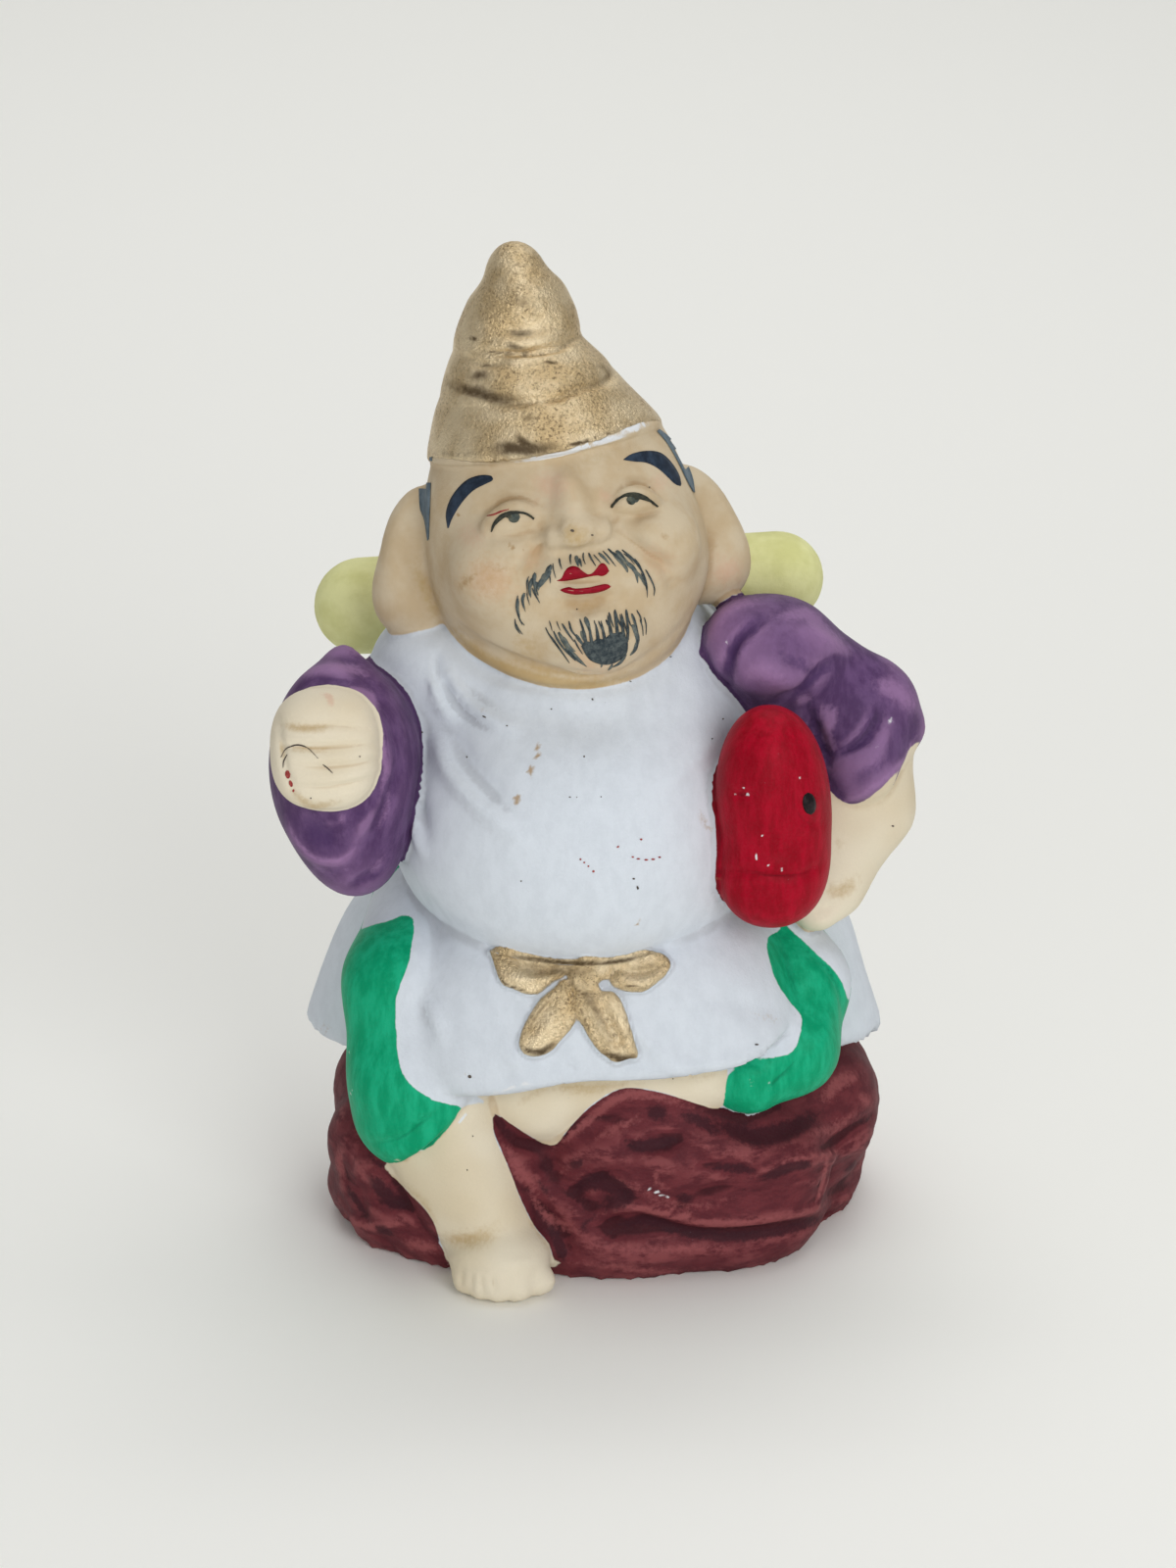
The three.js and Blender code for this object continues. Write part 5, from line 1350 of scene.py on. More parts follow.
brows = {
    "rightUpper": [(155, 416), (149, 350), (174, 280), (230, 215), (290, 190), (338, 191), (350, 203)],
    "rightLower": [(159, 417), (176, 372), (214, 310), (264, 256), (320, 226), (344, 214), (350, 206)],
    "leftUpper": [(910, 121), (945, 98), (1005, 85), (1066, 92), (1112, 130), (1147, 185), (1158, 228)],
    "leftLower": [(911, 124), (960, 131), (1010, 136), (1058, 160), (1098, 195), (1130, 226), (1154, 236)],
}
eyes = {
    "rightLid": [(262, 508), (285, 440), (330, 380), (395, 325), (450, 300), (520, 278), (600, 276), (660, 284), (715, 308), (775, 352)],
    "rightWidths": [1.3, 2.6, 3.8, 4.4, 4.2, 3.2, 2.6, 2.4, 2.3, 2.0],
    "leftLid": [(172, 330), (210, 280), (265, 230), (330, 192), (400, 176), (455, 182), (510, 196), (570, 218), (630, 248), (680, 284), (725, 318)],
    "leftWidths": [2.2, 2.4, 2.2, 2.2, 3.0, 4.4, 4.8, 3.8, 2.8, 1.9, 1.3],
    "pupils": [("rightEye", (532, 330), 6.0, 5.6), ("leftEye", (412, 238), 4.8, 4.6), ("leftEye", (462, 220), 3.6, 4.0)],
    "darks": [("rightEye", (462, 318), 3.2, 2.2, 30), ("leftEye", (485, 205), 3.6, 2.6, 0), ("leftEye", (385, 262), 2.4, 0.9, 40)],
    "crease": [(205, 318), (290, 300), (380, 262), (470, 238)],
}
mouth = {
    "upper": [(545, 578), (580, 562), (602, 522), (625, 486), (658, 466), (692, 463), (725, 476), (760, 505), (800, 528), (835, 518), (868, 482), (894, 448), (920, 437), (946, 454), (972, 500)],
    "middle": [(545, 581), (580, 582), (620, 580), (680, 572), (740, 560), (800, 547), (840, 540), (880, 536), (912, 543), (945, 530), (972, 502)],
    "lowerTop": [(572, 655), (610, 641), (650, 634), (690, 645), (760, 641), (830, 631), (880, 620), (930, 609), (965, 612), (985, 628)],
    "lowerBottom": [(575, 659), (620, 680), (700, 692), (780, 687), (850, 680), (900, 669), (940, 656), (966, 642), (986, 631)],
}
sideburns = {
    "rightOuter": [(66, 108), (50, 160), (34, 232), (38, 330), (58, 380), (72, 470)],
    "rightInner": [(90, 112), (88, 160), (84, 232), (81, 320), (78, 390), (76, 462)],
    "leftOuter": [(1062, -8), (1112, 36), (1168, 115), (1204, 195), (1214, 264)],
    "leftInner": [(1052, 0), (1094, 50), (1140, 128), (1182, 215), (1208, 262)],
}


def drawBrows(bm):
    paintPatch(bm, traced("face", brows["rightUpper"]), traced("face", brows["rightLower"]), 24, 4)
    paintPatch(bm, traced("face", brows["leftUpper"]), traced("face", brows["leftLower"]), 24, 4)


def drawLids(bm):
    for side in ("right", "left"):
        widths = eyes[side + "Widths"]
        stroke(bm, traced(side + "Eye", eyes[side + "Lid"]), 1, 26, lambda t: np.interp(t, np.linspace(0, 1, len(widths)), widths), 3.2)
    for crop, at, wide, tall, turn in eyes["darks"]:
        dot(bm, *traced(crop, at)[0], wide, tall, turn, 8, 4, 2.8)


def drawPupils(bm):
    for crop, at, wide, tall in eyes["pupils"]:
        dot(bm, *traced(crop, at)[0], wide, tall, 0, 12, 7, 2.2)


def drawMouth(bm):
    paintPatch(bm, traced("mouth", mouth["upper"]), traced("mouth", mouth["middle"]), 32, 5)
    paintPatch(bm, traced("mouth", mouth["lowerTop"]), traced("mouth", mouth["lowerBottom"]), 20, 3)


def drawSideburns(bm):
    paintPatch(bm, traced("face", sideburns["rightOuter"]), traced("face", sideburns["rightInner"]), 16, 3)
    paintPatch(bm, traced("face", sideburns["leftInner"]), traced("face", sideburns["leftOuter"]), 16, 3)


# Brush hairs of the beard, each with its width in pixels of the photograph
beard = {
    "wash": [
        ([(500, 455), (470, 510), (425, 600)], 5.0), ([(495, 500), (460, 560), (405, 640)], 4.0), ([(370, 520), (360, 580), (380, 680)], 4.2),
        ([(345, 560), (325, 640), (335, 720)], 3.6), ([(385, 590), (372, 640), (392, 700)], 3.6), ([(280, 680), (265, 740), (285, 820)], 3.4),
        ([(230, 725), (228, 800), (245, 880)], 2.4), ([(425, 560), (400, 620), (395, 660)], 3.4), ([(450, 520), (430, 560), (440, 610)], 3.0),
        ([(705, 375), (710, 420), (722, 468)], 4.0), ([(730, 400), (740, 440), (748, 470)], 2.6), ([(885, 355), (935, 400), (975, 450)], 2.8),
        ([(1030, 335), (1080, 395), (1150, 460)], 5.0), ([(1000, 350), (1060, 420), (1120, 490)], 3.8), ([(1070, 420), (1110, 480), (1122, 515)], 3.2),
        ([(1110, 430), (1170, 480), (1215, 540)], 4.6), ([(1150, 460), (1190, 520), (1205, 600)], 3.6), ([(1195, 500), (1235, 560), (1262, 620)], 2.6),
        ([(560, 1000), (620, 1100), (700, 1200), (790, 1280)], 4.2), ([(620, 1130), (700, 1205), (775, 1268)], 5.0), ([(600, 1040), (640, 1110), (700, 1160)], 3.8),
        ([(775, 880), (800, 940), (830, 1040)], 4.6), ([(745, 990), (775, 1060), (800, 1110)], 4.4), ([(700, 1020), (735, 1070), (780, 1130)], 3.4),
        ([(1160, 940), (1192, 1010), (1202, 1080), (1165, 1160)], 4.4), ([(1200, 1075), (1182, 1140), (1140, 1190)], 3.4), ([(1155, 850), (1180, 920), (1198, 1000)], 2.8),
        ([(1110, 1180), (1060, 1248), (1000, 1285)], 2.6), ([(1000, 1262), (980, 1290), (962, 1308)], 2.2), ([(900, 1240), (912, 1268), (902, 1285)], 2.0),
    ],
    "hairs": [
        ([(515, 440), (522, 500), (540, 560)], 0.9), ([(565, 400), (572, 440), (590, 490)], 1.6), ([(318, 545), (300, 600), (310, 700)], 1.0),
        ([(345, 640), (375, 700), (408, 762)], 1.7), ([(300, 680), (312, 730), (325, 780)], 0.9), ([(268, 700), (262, 760), (292, 832)], 1.3),
        ([(225, 700), (215, 790), (235, 870), (264, 938)], 1.7), ([(205, 890), (215, 960), (250, 1010)], 1.2), ([(215, 930), (235, 970), (268, 1015)], 0.9),
        ([(240, 880), (255, 910), (285, 942)], 0.9), ([(310, 560), (315, 640), (322, 700)], 1.1), ([(490, 540), (492, 570), (495, 602)], 1.2),
        ([(370, 515), (350, 560), (352, 620)], 1.2), ([(500, 450), (480, 480), (470, 530)], 1.2), ([(395, 600), (382, 650), (398, 700)], 1.0),
        ([(660, 360), (655, 400), (660, 452)], 2.0), ([(762, 348), (762, 400), (780, 450)], 1.5), ([(805, 355), (825, 400), (865, 466)], 2.0),
        ([(845, 370), (880, 410), (905, 440)], 1.0), ([(920, 340), (975, 400), (1025, 465)], 1.4), ([(735, 425), (745, 445), (748, 468)], 1.4),
        ([(960, 320), (1000, 360), (1050, 410)], 1.8), ([(1075, 330), (1150, 390), (1215, 460), (1260, 540), (1280, 620), (1280, 716)], 2.1),
        ([(1090, 360), (1140, 400), (1180, 450)], 1.2), ([(1180, 400), (1220, 450), (1250, 510)], 1.1), ([(1270, 488), (1310, 560), (1340, 640), (1334, 702)], 1.6),
        ([(1235, 520), (1262, 580), (1276, 660)], 1.6), ([(1010, 352), (1050, 400), (1090, 460)], 1.4), ([(1030, 340), (1075, 380), (1110, 430)], 1.2),
        ([(520, 990), (560, 1070), (620, 1150), (700, 1230)], 1.9), ([(480, 1010), (560, 1120), (652, 1250)], 1.7), ([(590, 930), (640, 1010), (690, 1080)], 2.0),
        ([(645, 910), (670, 990), (740, 1070)], 2.0), ([(735, 895), (750, 950), (762, 1012)], 1.7), ([(850, 905), (860, 940), (875, 962)], 0.9),
        ([(885, 910), (905, 960), (925, 1002)], 1.5), ([(945, 900), (965, 940), (985, 978)], 2.0), ([(970, 840), (985, 900), (1010, 965)], 2.0),
        ([(1018, 818), (1035, 890), (1075, 960), (1105, 1040)], 2.4), ([(1070, 850), (1090, 920), (1115, 1000), (1130, 1060)], 1.4),
        ([(1108, 815), (1120, 880), (1150, 955)], 2.2), ([(1155, 850), (1182, 920), (1204, 1000)], 1.6), ([(1195, 820), (1225, 880), (1235, 950)], 1.2),
        ([(1255, 880), (1270, 940), (1268, 1020)], 0.8), ([(1220, 900), (1240, 960), (1245, 1030)], 0.8), ([(485, 905), (500, 950), (510, 990)], 0.8),
        ([(545, 910), (560, 950), (580, 990)], 0.8), ([(455, 960), (480, 1010), (520, 1080)], 0.9), ([(690, 1060), (720, 1120), (760, 1180)], 1.4),
        ([(640, 1150), (690, 1200), (760, 1262)], 1.4), ([(1200, 1060), (1190, 1120), (1150, 1175)], 1.4),
        ([(786, 1110), (768, 1010), (746, 915)], 3.4), ([(834, 1110), (822, 1030), (804, 950)], 3.2),
        ([(884, 1090), (876, 1010), (861, 925)], 3.4), ([(938, 1080), (924, 1000), (905, 905)], 3.0),
        ([(992, 1050), (978, 960), (958, 862)], 3.4), ([(1042, 1040), (1030, 940), (1010, 827)], 3.2),
        ([(1088, 1040), (1078, 950), (1058, 854)], 2.8), ([(1118, 1080), (1122, 960), (1102, 827)], 2.4),
    ],
    "coreTop": [(742, 1120), (775, 1075), (830, 1080), (880, 1052), (930, 1056), (985, 1012), (1030, 1008), (1075, 1000), (1108, 1045), (1118, 1090)],
    "coreBottom": [(745, 1112), (780, 1180), (820, 1226), (880, 1252), (940, 1262), (1000, 1252), (1060, 1222), (1105, 1180), (1120, 1140), (1122, 1090)],
}


def drawBeardWash(bm):
    for path, width in beard["wash"]:
        stroke(bm, traced("mouth", path), width, 10, hairShape, 1.5)


def drawBeardHairs(bm):
    paintPatch(bm, traced("mouth", beard["coreTop"]), traced("mouth", beard["coreBottom"]), 24, 14, 2)
    for path, width in beard["hairs"]:
        stroke(bm, traced("mouth", path), width, 12, hairShape, 2.4)


flecks = {  # crop, place, half width, half height, turn
    "dark": [
        ("face", (691, 428), 3.4, 2.0, 10), ("face", (775, 446), 1.9, 1.2, 0), ("face", (1022, 242), 1.2, 0.9, 0),
        ("face", (710, 765), 1.6, 1.0, 60), ("lap", (463, 512), 3.2, 2.4, 30), ("lap", (905, 14), 3.0, 1.2, 60),
        ("lap", (1218, 428), 3.2, 1.4, 0), ("robe", (1062, 1086), 1.0, 2.8, -15), ("robe", (1046, 1046), 2.2, 1.2, 0),
        ("robe", (868, 270), 2.0, 1.2, 50), ("robe", (690, 312), 1.4, 1.4, 0), ("robe", (1385, 441), 1.1, 1.1, 0),
        ("robe", (1432, 355), 1.2, 1.2, 0), ("robe", (770, 693), 1.8, 0.9, 0), ("robe", (800, 694), 0.9, 0.9, 0),
        ("robe", (1205, 85), 1.8, 0.9, 0), ("robe", (1032, 192), 2.0, 0.9, 30), ("robe", (832, 518), 1.2, 1.4, 0),
        ("robe", (560, 1056), 1.0, 1.2, 0), ("robe", (498, 384), 1.6, 0.9, 0), ("robe", (400, 345), 3.4, 0.9, 30),
        ("arm", (516, 636), 1.2, 1.0, 0), ("arm", (276, 841), 1.2, 1.0, 0), ("right", (656, 973), 2.0, 1.4, 0),
        ("rock", (433, 318), 1.0, 1.2, 0), ("rock", (418, 410), 1.0, 1.3, 0), ("rock", (978, 162), 1.2, 1.0, 0),
        ("robe", (130, 412), 1.3, 1.3, 0), ("robe", (325, 520), 1.0, 1.6, 0), ("robe", (905, 692), 1.1, 0.9, 0),
    ],
    "red": [
        ("arm", (163, 725), 2.6, 4.2, -10), ("arm", (178, 770), 1.8, 3.4, -20), ("arm", (191, 805), 1.0, 1.4, 0),
        ("robe", (816, 962), 1.0, 0.9, 0), ("robe", (832, 976), 1.0, 0.8, 0), ("robe", (850, 992), 1.0, 0.8, 0),
        ("robe", (872, 1014), 1.3, 1.0, 0), ("robe", (1042, 952), 1.2, 0.7, 0), ("robe", (1066, 960), 1.8, 0.7, 0),
        ("robe", (1100, 964), 2.0, 0.8, 0), ("robe", (1130, 962), 2.0, 0.8, 0), ("robe", (1158, 953), 1.4, 0.8, 0),
        ("robe", (1078, 876), 1.2, 1.0, 0), ("robe", (978, 908), 1.4, 0.8, -30),
    ],
    "hairArc": [[(130, 640), (150, 604), (185, 584), (222, 580), (262, 596), (312, 646)], [(140, 692), (143, 660), (160, 628)], [(335, 675), (358, 694), (384, 720)]],
    "fishEye": [(391, 902), 6.6, 11.2],
}


def drawDark(bm):
    for crop, at, wide, tall, turn in flecks["dark"]:
        dot(bm, *traced(crop, at)[0], wide * 0.6, tall * 0.6, turn, 6, 3, 1.5)
    for arc in flecks["hairArc"]:
        stroke(bm, traced("arm", arc), 1.3, 14)


def drawRed(bm):
    for crop, at, wide, tall, turn in flecks["red"]:
        dot(bm, *traced(crop, at)[0], wide, tall, turn, 6, 3, 1.5)
    stroke(bm, traced("rightEye", eyes["crease"]), 1.6, 8)


def drawFishEye(bm):
    at, wide, tall = flecks["fishEye"]
    dot(bm, *traced("right", at)[0], tall, wide, 82, 12, 6)


# MATERIALS
def add(tree, kind, inputs=None, **settings):
    made = tree.nodes.new(kind)
    for name, value in settings.items():
        setattr(made, name, value)
    for name, value in (inputs or {}).items():
        feed(tree, made.inputs[name], value)
    return made.outputs[0]


def feed(tree, socket, value):
    if isinstance(value, bpy.types.NodeSocket):
        tree.links.new(value, socket)
    else:
        socket.default_value = value


def sums(tree, kind, a, b=0.0, clamp=False):
    return add(tree, "ShaderNodeMath", {0: a, 1: b}, operation=kind, use_clamp=clamp)


def mixed(tree, share, a, b, kind="MIX"):
    made = tree.nodes.new("ShaderNodeMix")
    made.data_type, made.blend_type = "RGBA", kind
    for index, value in ((0, share), (6, a), (7, b)):
        feed(tree, made.inputs[index], value)
    return made.outputs[2]


def blended(tree, share, a, b):  # the same for plain numbers
    made = tree.nodes.new("ShaderNodeMix")
    for index, value in ((0, share), (2, a), (3, b)):
        feed(tree, made.inputs[index], value)
    return made.outputs[0]


def ramp(tree, value, low, high):
    return add(tree, "ShaderNodeMapRange", {"Value": value, "From Min": low, "From Max": high}, interpolation_type="SMOOTHSTEP")


def attribute(tree, name):
    made = tree.nodes.new("ShaderNodeAttribute")
    made.attribute_name = name
    return made.outputs["Fac"]


def noise(tree, place, size, detail=3.0, roughness=0.6, stretch=None, turn=(0, 0, 0)):  # size of its blotches in mm
    if stretch or any(turn):
        mapping = tree.nodes.new("ShaderNodeMapping")
        tree.links.new(place, mapping.inputs["Vector"])
        mapping.inputs["Scale"].default_value = stretch or (1, 1, 1)
        mapping.inputs["Rotation"].default_value = [radians(a) for a in turn]
        place = mapping.outputs[0]
    settings = {"Vector": place, "Scale": 1 / (size * mm), "Detail": detail, "Roughness": roughness}
    return add(tree, "ShaderNodeTexNoise", settings)


def specks(tree, place, size, reach, share):  # small round spots, size of their spacing in mm
    cells = tree.nodes.new("ShaderNodeTexVoronoi")
    tree.links.new(place, cells.inputs["Vector"])
    cells.inputs["Scale"].default_value = 1 / (size * mm)
    near = ramp(tree, cells.outputs["Distance"], reach, reach * 0.6)
    separate = tree.nodes.new("ShaderNodeSeparateColor")
    tree.links.new(cells.outputs["Color"], separate.inputs[0])
    return sums(tree, "MULTIPLY", near, sums(tree, "LESS_THAN", separate.outputs[0], share))


# each paint's two brush tones and a darker third tone laid as painted shade in its creases; the gold's third tone is
# its soot and painted shade
finishes = {
    "robe": [colour(216, 223, 231), colour(210, 217, 225), colour(172, 176, 182)],
    "cream": [colour(229, 219, 197), colour(218, 204, 176), colour(184, 156, 116)],
    "skin": [colour(206, 190, 162), colour(196, 175, 142), colour(164, 130, 88)],
    "lime": [colour(228, 228, 168), colour(212, 212, 146), colour(150, 150, 84)],
    "purple": [colour(82, 56, 96), colour(104, 76, 118), colour(56, 38, 70)],
    # pale mauve, painted highlight on the sleeves' ridges, partly thin paint
    "paleMauveAndHighlight": colour(156, 120, 162),
    # dark plum, painted shade in the sleeves' folds
    "sleeveShade": colour(72, 48, 92),
    "green": [colour(0, 152, 106), colour(26, 176, 130), colour(0, 106, 72)],
    "red": [colour(142, 0, 24), colour(168, 4, 36), colour(88, 0, 14)],
    "rock": [colour(90, 38, 45), colour(108, 48, 54), colour(48, 17, 24)],
    # paler maroon, partly a wash and partly painted highlight on the rock's ridges
    "paleWashAndHighlight": colour(146, 80, 82),
    # dark maroon, painted shade in the rock's dents and grooves
    "rockShade": colour(58, 26, 34),
    "gold": [colour(232, 213, 177), colour(203, 178, 135), colour(76, 60, 40)],
    "blush": colour(214, 168, 144),
    # yellow-brown, painted shade on the skin and cream paint
    "skinShade": colour(178, 146, 84),
    "stain": colour(170, 140, 100),
    "bare": colour(226, 229, 232),
}


def clayMaterial():
    made = bpy.data.materials.new("handPaintedClay")
    made.use_nodes = True
    tree = made.node_tree
    shader = tree.nodes["Principled BSDF"]
    shader.inputs["Specular IOR Level"].default_value = 0.08
    place = tree.nodes.new("ShaderNodeTexCoord").outputs["Object"]
    fineHeight, broadHeight = attribute(tree, "standingFine"), attribute(tree, "standingBroad")
    # painted shade: how deep a place lies in a crease or hollow, where the paints are darkened
    creaseShade = sums(tree, "MAXIMUM", ramp(tree, fineHeight, -0.03, -0.13), ramp(tree, broadHeight, -0.15, -0.6))
    # painted highlight: how far a place stands out as a ridge, where the sleeves and rock are lightened
    ridgeLight = sums(tree, "MAXIMUM", ramp(tree, fineHeight, 0.02, 0.12), ramp(tree, broadHeight, 0.12, 0.5))
    grain = noise(tree, place, 0.35, 4)
    fine = noise(tree, place, 0.12, 2)
    patch = noise(tree, place, 4.0, 3)
    cloud = noise(tree, place, 12.0, 2)
    wobble = sums(tree, "MULTIPLY", sums(tree, "SUBTRACT", noise(tree, place, 1.6, 3, 0.65), 0.5), 0.32)
    breakup = noise(tree, place, 0.5, 5, 0.7)

    def strokes(size, stretch, turn=(0, 0, 0)):
        return noise(tree, place, size, 4, 0.65, stretch, turn)

    def wash(name, strength=1.0, low=0.25, high=0.75, broken=0.9):  # a brushed wash with a broken edge
        laid = sums(tree, "ADD", attribute(tree, name), sums(tree, "MULTIPLY", sums(tree, "SUBTRACT", breakup, 0.5), broken))
        shown = sums(tree, "MULTIPLY", ramp(tree, laid, low, high), ramp(tree, attribute(tree, name), 0.02, 0.15))
        return sums(tree, "MULTIPLY", shown, strength)

    def coat(name, brush, darker):  # a paint with its brush streaks, and painted shade in its darker third tone where it lies in a crease
        light, second, deep = finishes[name]
        base = mixed(tree, ramp(tree, brush, 0.35, 0.68), light, second)
        return mixed(tree, sums(tree, "MULTIPLY", creaseShade, darker), base, deep)

    streak = strokes(1.4, (1, 1, 0.5), (20, 0, 15))
    layers = coat("robe", streak, 0.5)
    gloss = blended(tree, grain, 0.6, 0.75)

    def over(name, paint, rough, soften=0.06):
        nonlocal layers, gloss
        share = ramp(tree, sums(tree, "ADD", attribute(tree, name), wobble), -soften, soften)
        layers = mixed(tree, share, layers, paint)
        gloss = blended(tree, share, gloss, rough)
        return share

    # maroon rock, lighter along its edges and ridges, partly a paler wash and partly painted highlight, and darker in
    # its dents and grooves, painted shade
    stoneBrush = strokes(2.0, (1, 1, 2.2), (25, 15, 0))
    stone = coat("rock", stoneBrush, 0.75)
    ridgeWashAndHighlight = sums(tree, "MULTIPLY", ridgeLight, ramp(tree, stoneBrush, 0.35, 0.6))
    stone = mixed(tree, sums(tree, "MULTIPLY", ridgeWashAndHighlight, 0.6), stone, finishes["paleWashAndHighlight"])
    stone = mixed(tree, wash("paleWashAndHighlight", 0.85, 0.28, 0.8, 1.2), stone, finishes["paleWashAndHighlight"])
    # painted shade in the rock's dents and grooves
    stone = mixed(tree, wash("rockShade", 0.85, 0.3, 0.65), stone, finishes["rockShade"])
    over("rock", stone, 0.55)

    # purple sleeves, pale mauve on every ridge and along the raised folds: painted highlight, partly paint worn thin
    # there
    sleeveBrush = strokes(1.3, (1, 1, 0.4), (0, 25, 0))
    sleeve = mixed(tree, sums(tree, "MULTIPLY", ridgeLight, 0.6), coat("purple", sleeveBrush, 0.5), finishes["paleMauveAndHighlight"])
    sleeve = mixed(tree, wash("paleMauveAndHighlight", 0.72, 0.2, 0.85), sleeve, finishes["paleMauveAndHighlight"])
    # painted shade in plum along the sleeves' folds
    over("purple", mixed(tree, wash("sleeveShade", 0.7, 0.2, 0.85), sleeve, finishes["sleeveShade"]), 0.5)

    over("green", coat("green", strokes(1.2, (1, 1, 0.25), (0, -20, 0)), 0.6), 0.45)
    hand = coat("cream", cloud, 0.5)
    over("cream", mixed(tree, wash("blush", 0.5), hand, finishes["blush"]), 0.6)
    over("skin", mixed(tree, wash("blush", 0.45, 0.1, 0.9), coat("skin", patch, 0.5), finishes["blush"]), 0.5, 0.12)
    over("lime", coat("lime", patch, 0.7), 0.6)
    # painted shade in yellow-brown on the skin and the cream paint
    skinShade = sums(tree, "MULTIPLY", wash("skinShade", 0.6, 0.1, 0.9), sums(tree, "MAXIMUM", ramp(tree, attribute(tree, "skin"), -0.1, 0.1), ramp(tree, attribute(tree, "cream"), -0.1, 0.1)))
    layers = mixed(tree, skinShade, layers, finishes["skinShade"])

    over("red", coat("red", strokes(1.0, (1, 1, 0.25)), 0.7), 0.48)
    layers = mixed(tree, wash("bare", 1.0, 0.25, 0.55, 0.35), layers, finishes["bare"])

    # soot and dark specks on the gold, with painted shade in its folds and creases
    sootAndShadeShare = sums(tree, "MAXIMUM", wash("sootAndShade", 0.95, 0.1, 0.9, 0.6), sums(tree, "MULTIPLY", sums(tree, "MULTIPLY", creaseShade, 0.65), ramp(tree, breakup, 0.4, 0.65)))
    sootAndShadeShare = sums(tree, "MAXIMUM", sootAndShadeShare, sums(tree, "MULTIPLY", ramp(tree, noise(tree, place, 0.3, 4, 0.7), 0.47, 0.68), sums(tree, "MULTIPLY", ramp(tree, patch, 0.3, 0.65), 0.75)))
    gold = mixed(tree, ramp(tree, patch, 0.3, 0.7), finishes["gold"][0], finishes["gold"][1])
    goldShare = over("gold", mixed(tree, sootAndShadeShare, gold, finishes["gold"][2]), blended(tree, sootAndShadeShare, 0.33, 0.7))

    # wear and dirt over everything
    layers = mixed(tree, wash("stain", 0.85, 0.2, 0.7), layers, finishes["stain"])
    layers = mixed(tree, wash("worn", 0.9, 0.4, 0.7), layers, finishes["bare"])
    dust = specks(tree, place, 1.2, 0.05, 0.2)
    layers = mixed(tree, sums(tree, "MULTIPLY", dust, 0.3), layers, colour(110, 106, 112))
    layers = mixed(tree, sums(tree, "MULTIPLY", ramp(tree, noise(tree, place, 0.22, 2, 0.5), 0.3, 0.75), 0.025), layers, colour(120, 120, 124))

    tree.links.new(layers, shader.inputs["Base Color"])
    tree.links.new(gloss, shader.inputs["Roughness"])
    metal = sums(tree, "MULTIPLY", goldShare, blended(tree, sootAndShadeShare, 0.85, 0.1))
    tree.links.new(metal, shader.inputs["Metallic"])
    height = sums(tree, "ADD", sums(tree, "MULTIPLY", grain, 1.1), sums(tree, "MULTIPLY", fine, 0.4))
    height = sums(tree, "ADD", height, sums(tree, "MULTIPLY", streak, 0.5))
    leafGrain = sums(tree, "ADD", noise(tree, place, 0.7, 3, 0.7), noise(tree, place, 0.25, 3, 0.7))
    height = sums(tree, "ADD", height, sums(tree, "MULTIPLY", sums(tree, "MULTIPLY", leafGrain, goldShare), 4.2))
    bump = add(tree, "ShaderNodeBump", {"Height": height, "Strength": 0.6, "Distance": 0.06 * mm})
    tree.links.new(bump, shader.inputs["Normal"])
    return made


def lineMaterial(name, dark, light, rough, size=0.5):
    made = bpy.data.materials.new(name)
    made.use_nodes = True
    tree = made.node_tree
    place = tree.nodes.new("ShaderNodeTexCoord").outputs["Object"]
    mottle = ramp(tree, noise(tree, place, size, 4, 0.7), 0.35, 0.7)
    tree.links.new(mixed(tree, mottle, dark, light), tree.nodes["Principled BSDF"].inputs["Base Color"])
    tree.nodes["Principled BSDF"].inputs["Roughness"].default_value = rough
    tree.nodes["Principled BSDF"].inputs["Specular IOR Level"].default_value = 0.15
    return made


skin.materials.clear()
skin.materials.append(clayMaterial())
print("clay material made")

paintPiece("brows", drawBrows, lineMaterial("navyBrush", colour(30, 40, 54), colour(52, 66, 84), 0.5, 1.2))
paintPiece("eyeLids", drawLids, lineMaterial("lidBrush", colour(38, 42, 40), colour(74, 74, 60), 0.6))
paintPiece("pupils", drawPupils, lineMaterial("pupilWash", colour(60, 70, 68), colour(96, 100, 88), 0.6))
paintPiece("lips", drawMouth, lineMaterial("lipBrush", colour(132, 2, 26), colour(152, 8, 36), 0.45))
paintPiece("sideburns", drawSideburns, lineMaterial("slateWash", colour(84, 100, 112), colour(112, 126, 134), 0.6, 1.5))
paintPiece("beardWash", drawBeardWash, lineMaterial("slateWater", colour(74, 86, 90), colour(122, 126, 116), 0.6, 0.8))
paintPiece("beardHairs", drawBeardHairs, lineMaterial("slateBrush", colour(44, 54, 60), colour(88, 96, 96), 0.6))
paintPiece("fishEye", drawFishEye, lineMaterial("fishEyeBlack", colour(18, 14, 16), colour(40, 30, 34), 0.4))
paintPiece("darkFlecks", drawDark, lineMaterial("fleckBrown", colour(58, 52, 50), colour(110, 100, 90), 0.7))
paintPiece("redFlecks", drawRed, lineMaterial("fleckRed", colour(140, 40, 44), colour(176, 90, 80), 0.6))
print("painted lines laid on")

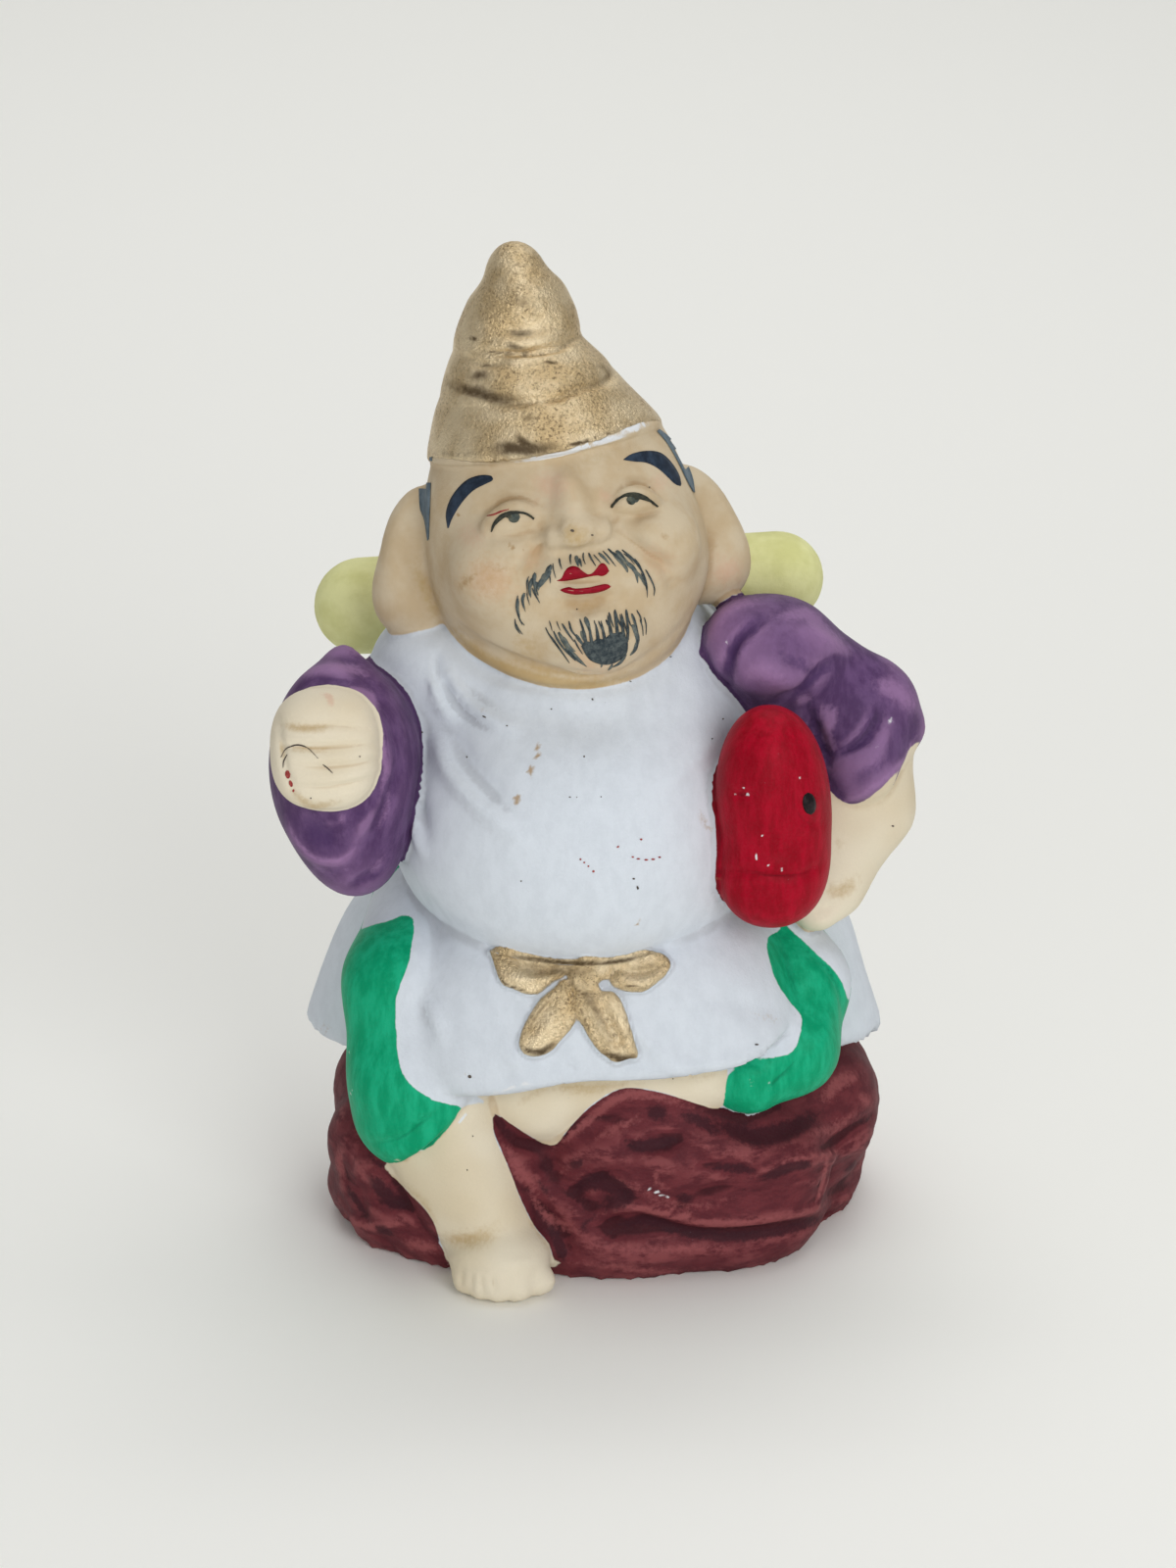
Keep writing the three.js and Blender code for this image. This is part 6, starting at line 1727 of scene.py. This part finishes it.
# FLOOR, BACKDROP AND LIGHT
studio = {
    "floor": colour(250, 250, 246),
    "wall": colour(244, 244, 241),
    "world": 0.32,
    "key": {"at": (180, -400, 240), "size": 220, "power": 0.82, "towards": (0, 0, 45)},
    "fill": {"at": (-120, -420, 90), "size": 340, "power": 0.42, "towards": (0, 0, 45)},
    "top": {"at": (60, 60, 480), "size": 380, "power": 0.55, "towards": (0, 0, 45)},
    "wallWash": {"at": (0, 420, 900), "size": 700, "power": 4.0, "towards": (0, 1200, 260)},
}


def backdrop():
    bm = bmesh.new()
    made = bmesh.ops.create_grid(bm, x_segments=2, y_segments=48, size=1)["verts"]
    for vert in made:
        x, along = vert.co.x * 1.5, (vert.co.y + 1) / 2
        turn = min(max((along - 0.5) / 0.2, 0), 1) * pi / 2
        radius = 0.4
        y = -1.2 + min(along, 0.5) * 4.0 + radius * np.sin(turn)
        z = radius * (1 - np.cos(turn)) + max(along - 0.7, 0) * 6
        vert.co = (x, y, z - 0.00002)
    mesh = bpy.data.meshes.new("paperSweep")
    bm.to_mesh(mesh)
    bm.free()
    mesh.shade_smooth()
    paper = bpy.data.materials.new("palePaper")
    paper.use_nodes = True
    tree = paper.node_tree
    place = tree.nodes.new("ShaderNodeTexCoord").outputs["Object"]
    height = tree.nodes.new("ShaderNodeSeparateXYZ")
    tree.links.new(place, height.inputs[0])
    # the paper turns slightly darker as it rises from floor to wall: painted shade
    shade = mixed(tree, ramp(tree, height.outputs["Z"], 0.0, 0.3), studio["floor"], studio["wall"])
    tree.links.new(shade, tree.nodes["Principled BSDF"].inputs["Base Color"])
    tree.nodes["Principled BSDF"].inputs["Roughness"].default_value = 0.9
    mesh.materials.append(paper)
    floor = bpy.data.objects.new("paperSweep", mesh)
    scene.collection.objects.link(floor)


def softBox(name, at, size, power, towards):
    light = bpy.data.objects.new(name, bpy.data.lights.new(name, "AREA"))
    light.data.shape, light.data.size, light.data.energy = "SQUARE", size * mm, power
    light.location = Vector(at) * mm
    light.rotation_euler = (Vector(towards) * mm - light.location).to_track_quat("-Z", "Y").to_euler()
    scene.collection.objects.link(light)


backdrop()
softBox("keyLight", **studio["key"])
softBox("fillLight", **studio["fill"])
softBox("topLight", **studio["top"])
softBox("wallLight", **studio["wallWash"])
world = bpy.data.worlds.new("studio")
world.use_nodes = True
world.node_tree.nodes["Background"].inputs["Color"].default_value = (1.0, 0.995, 0.985, 1)
world.node_tree.nodes["Background"].inputs["Strength"].default_value = studio["world"]
scene.world = world
scene.view_settings.view_transform = "Standard"
print("studio set")
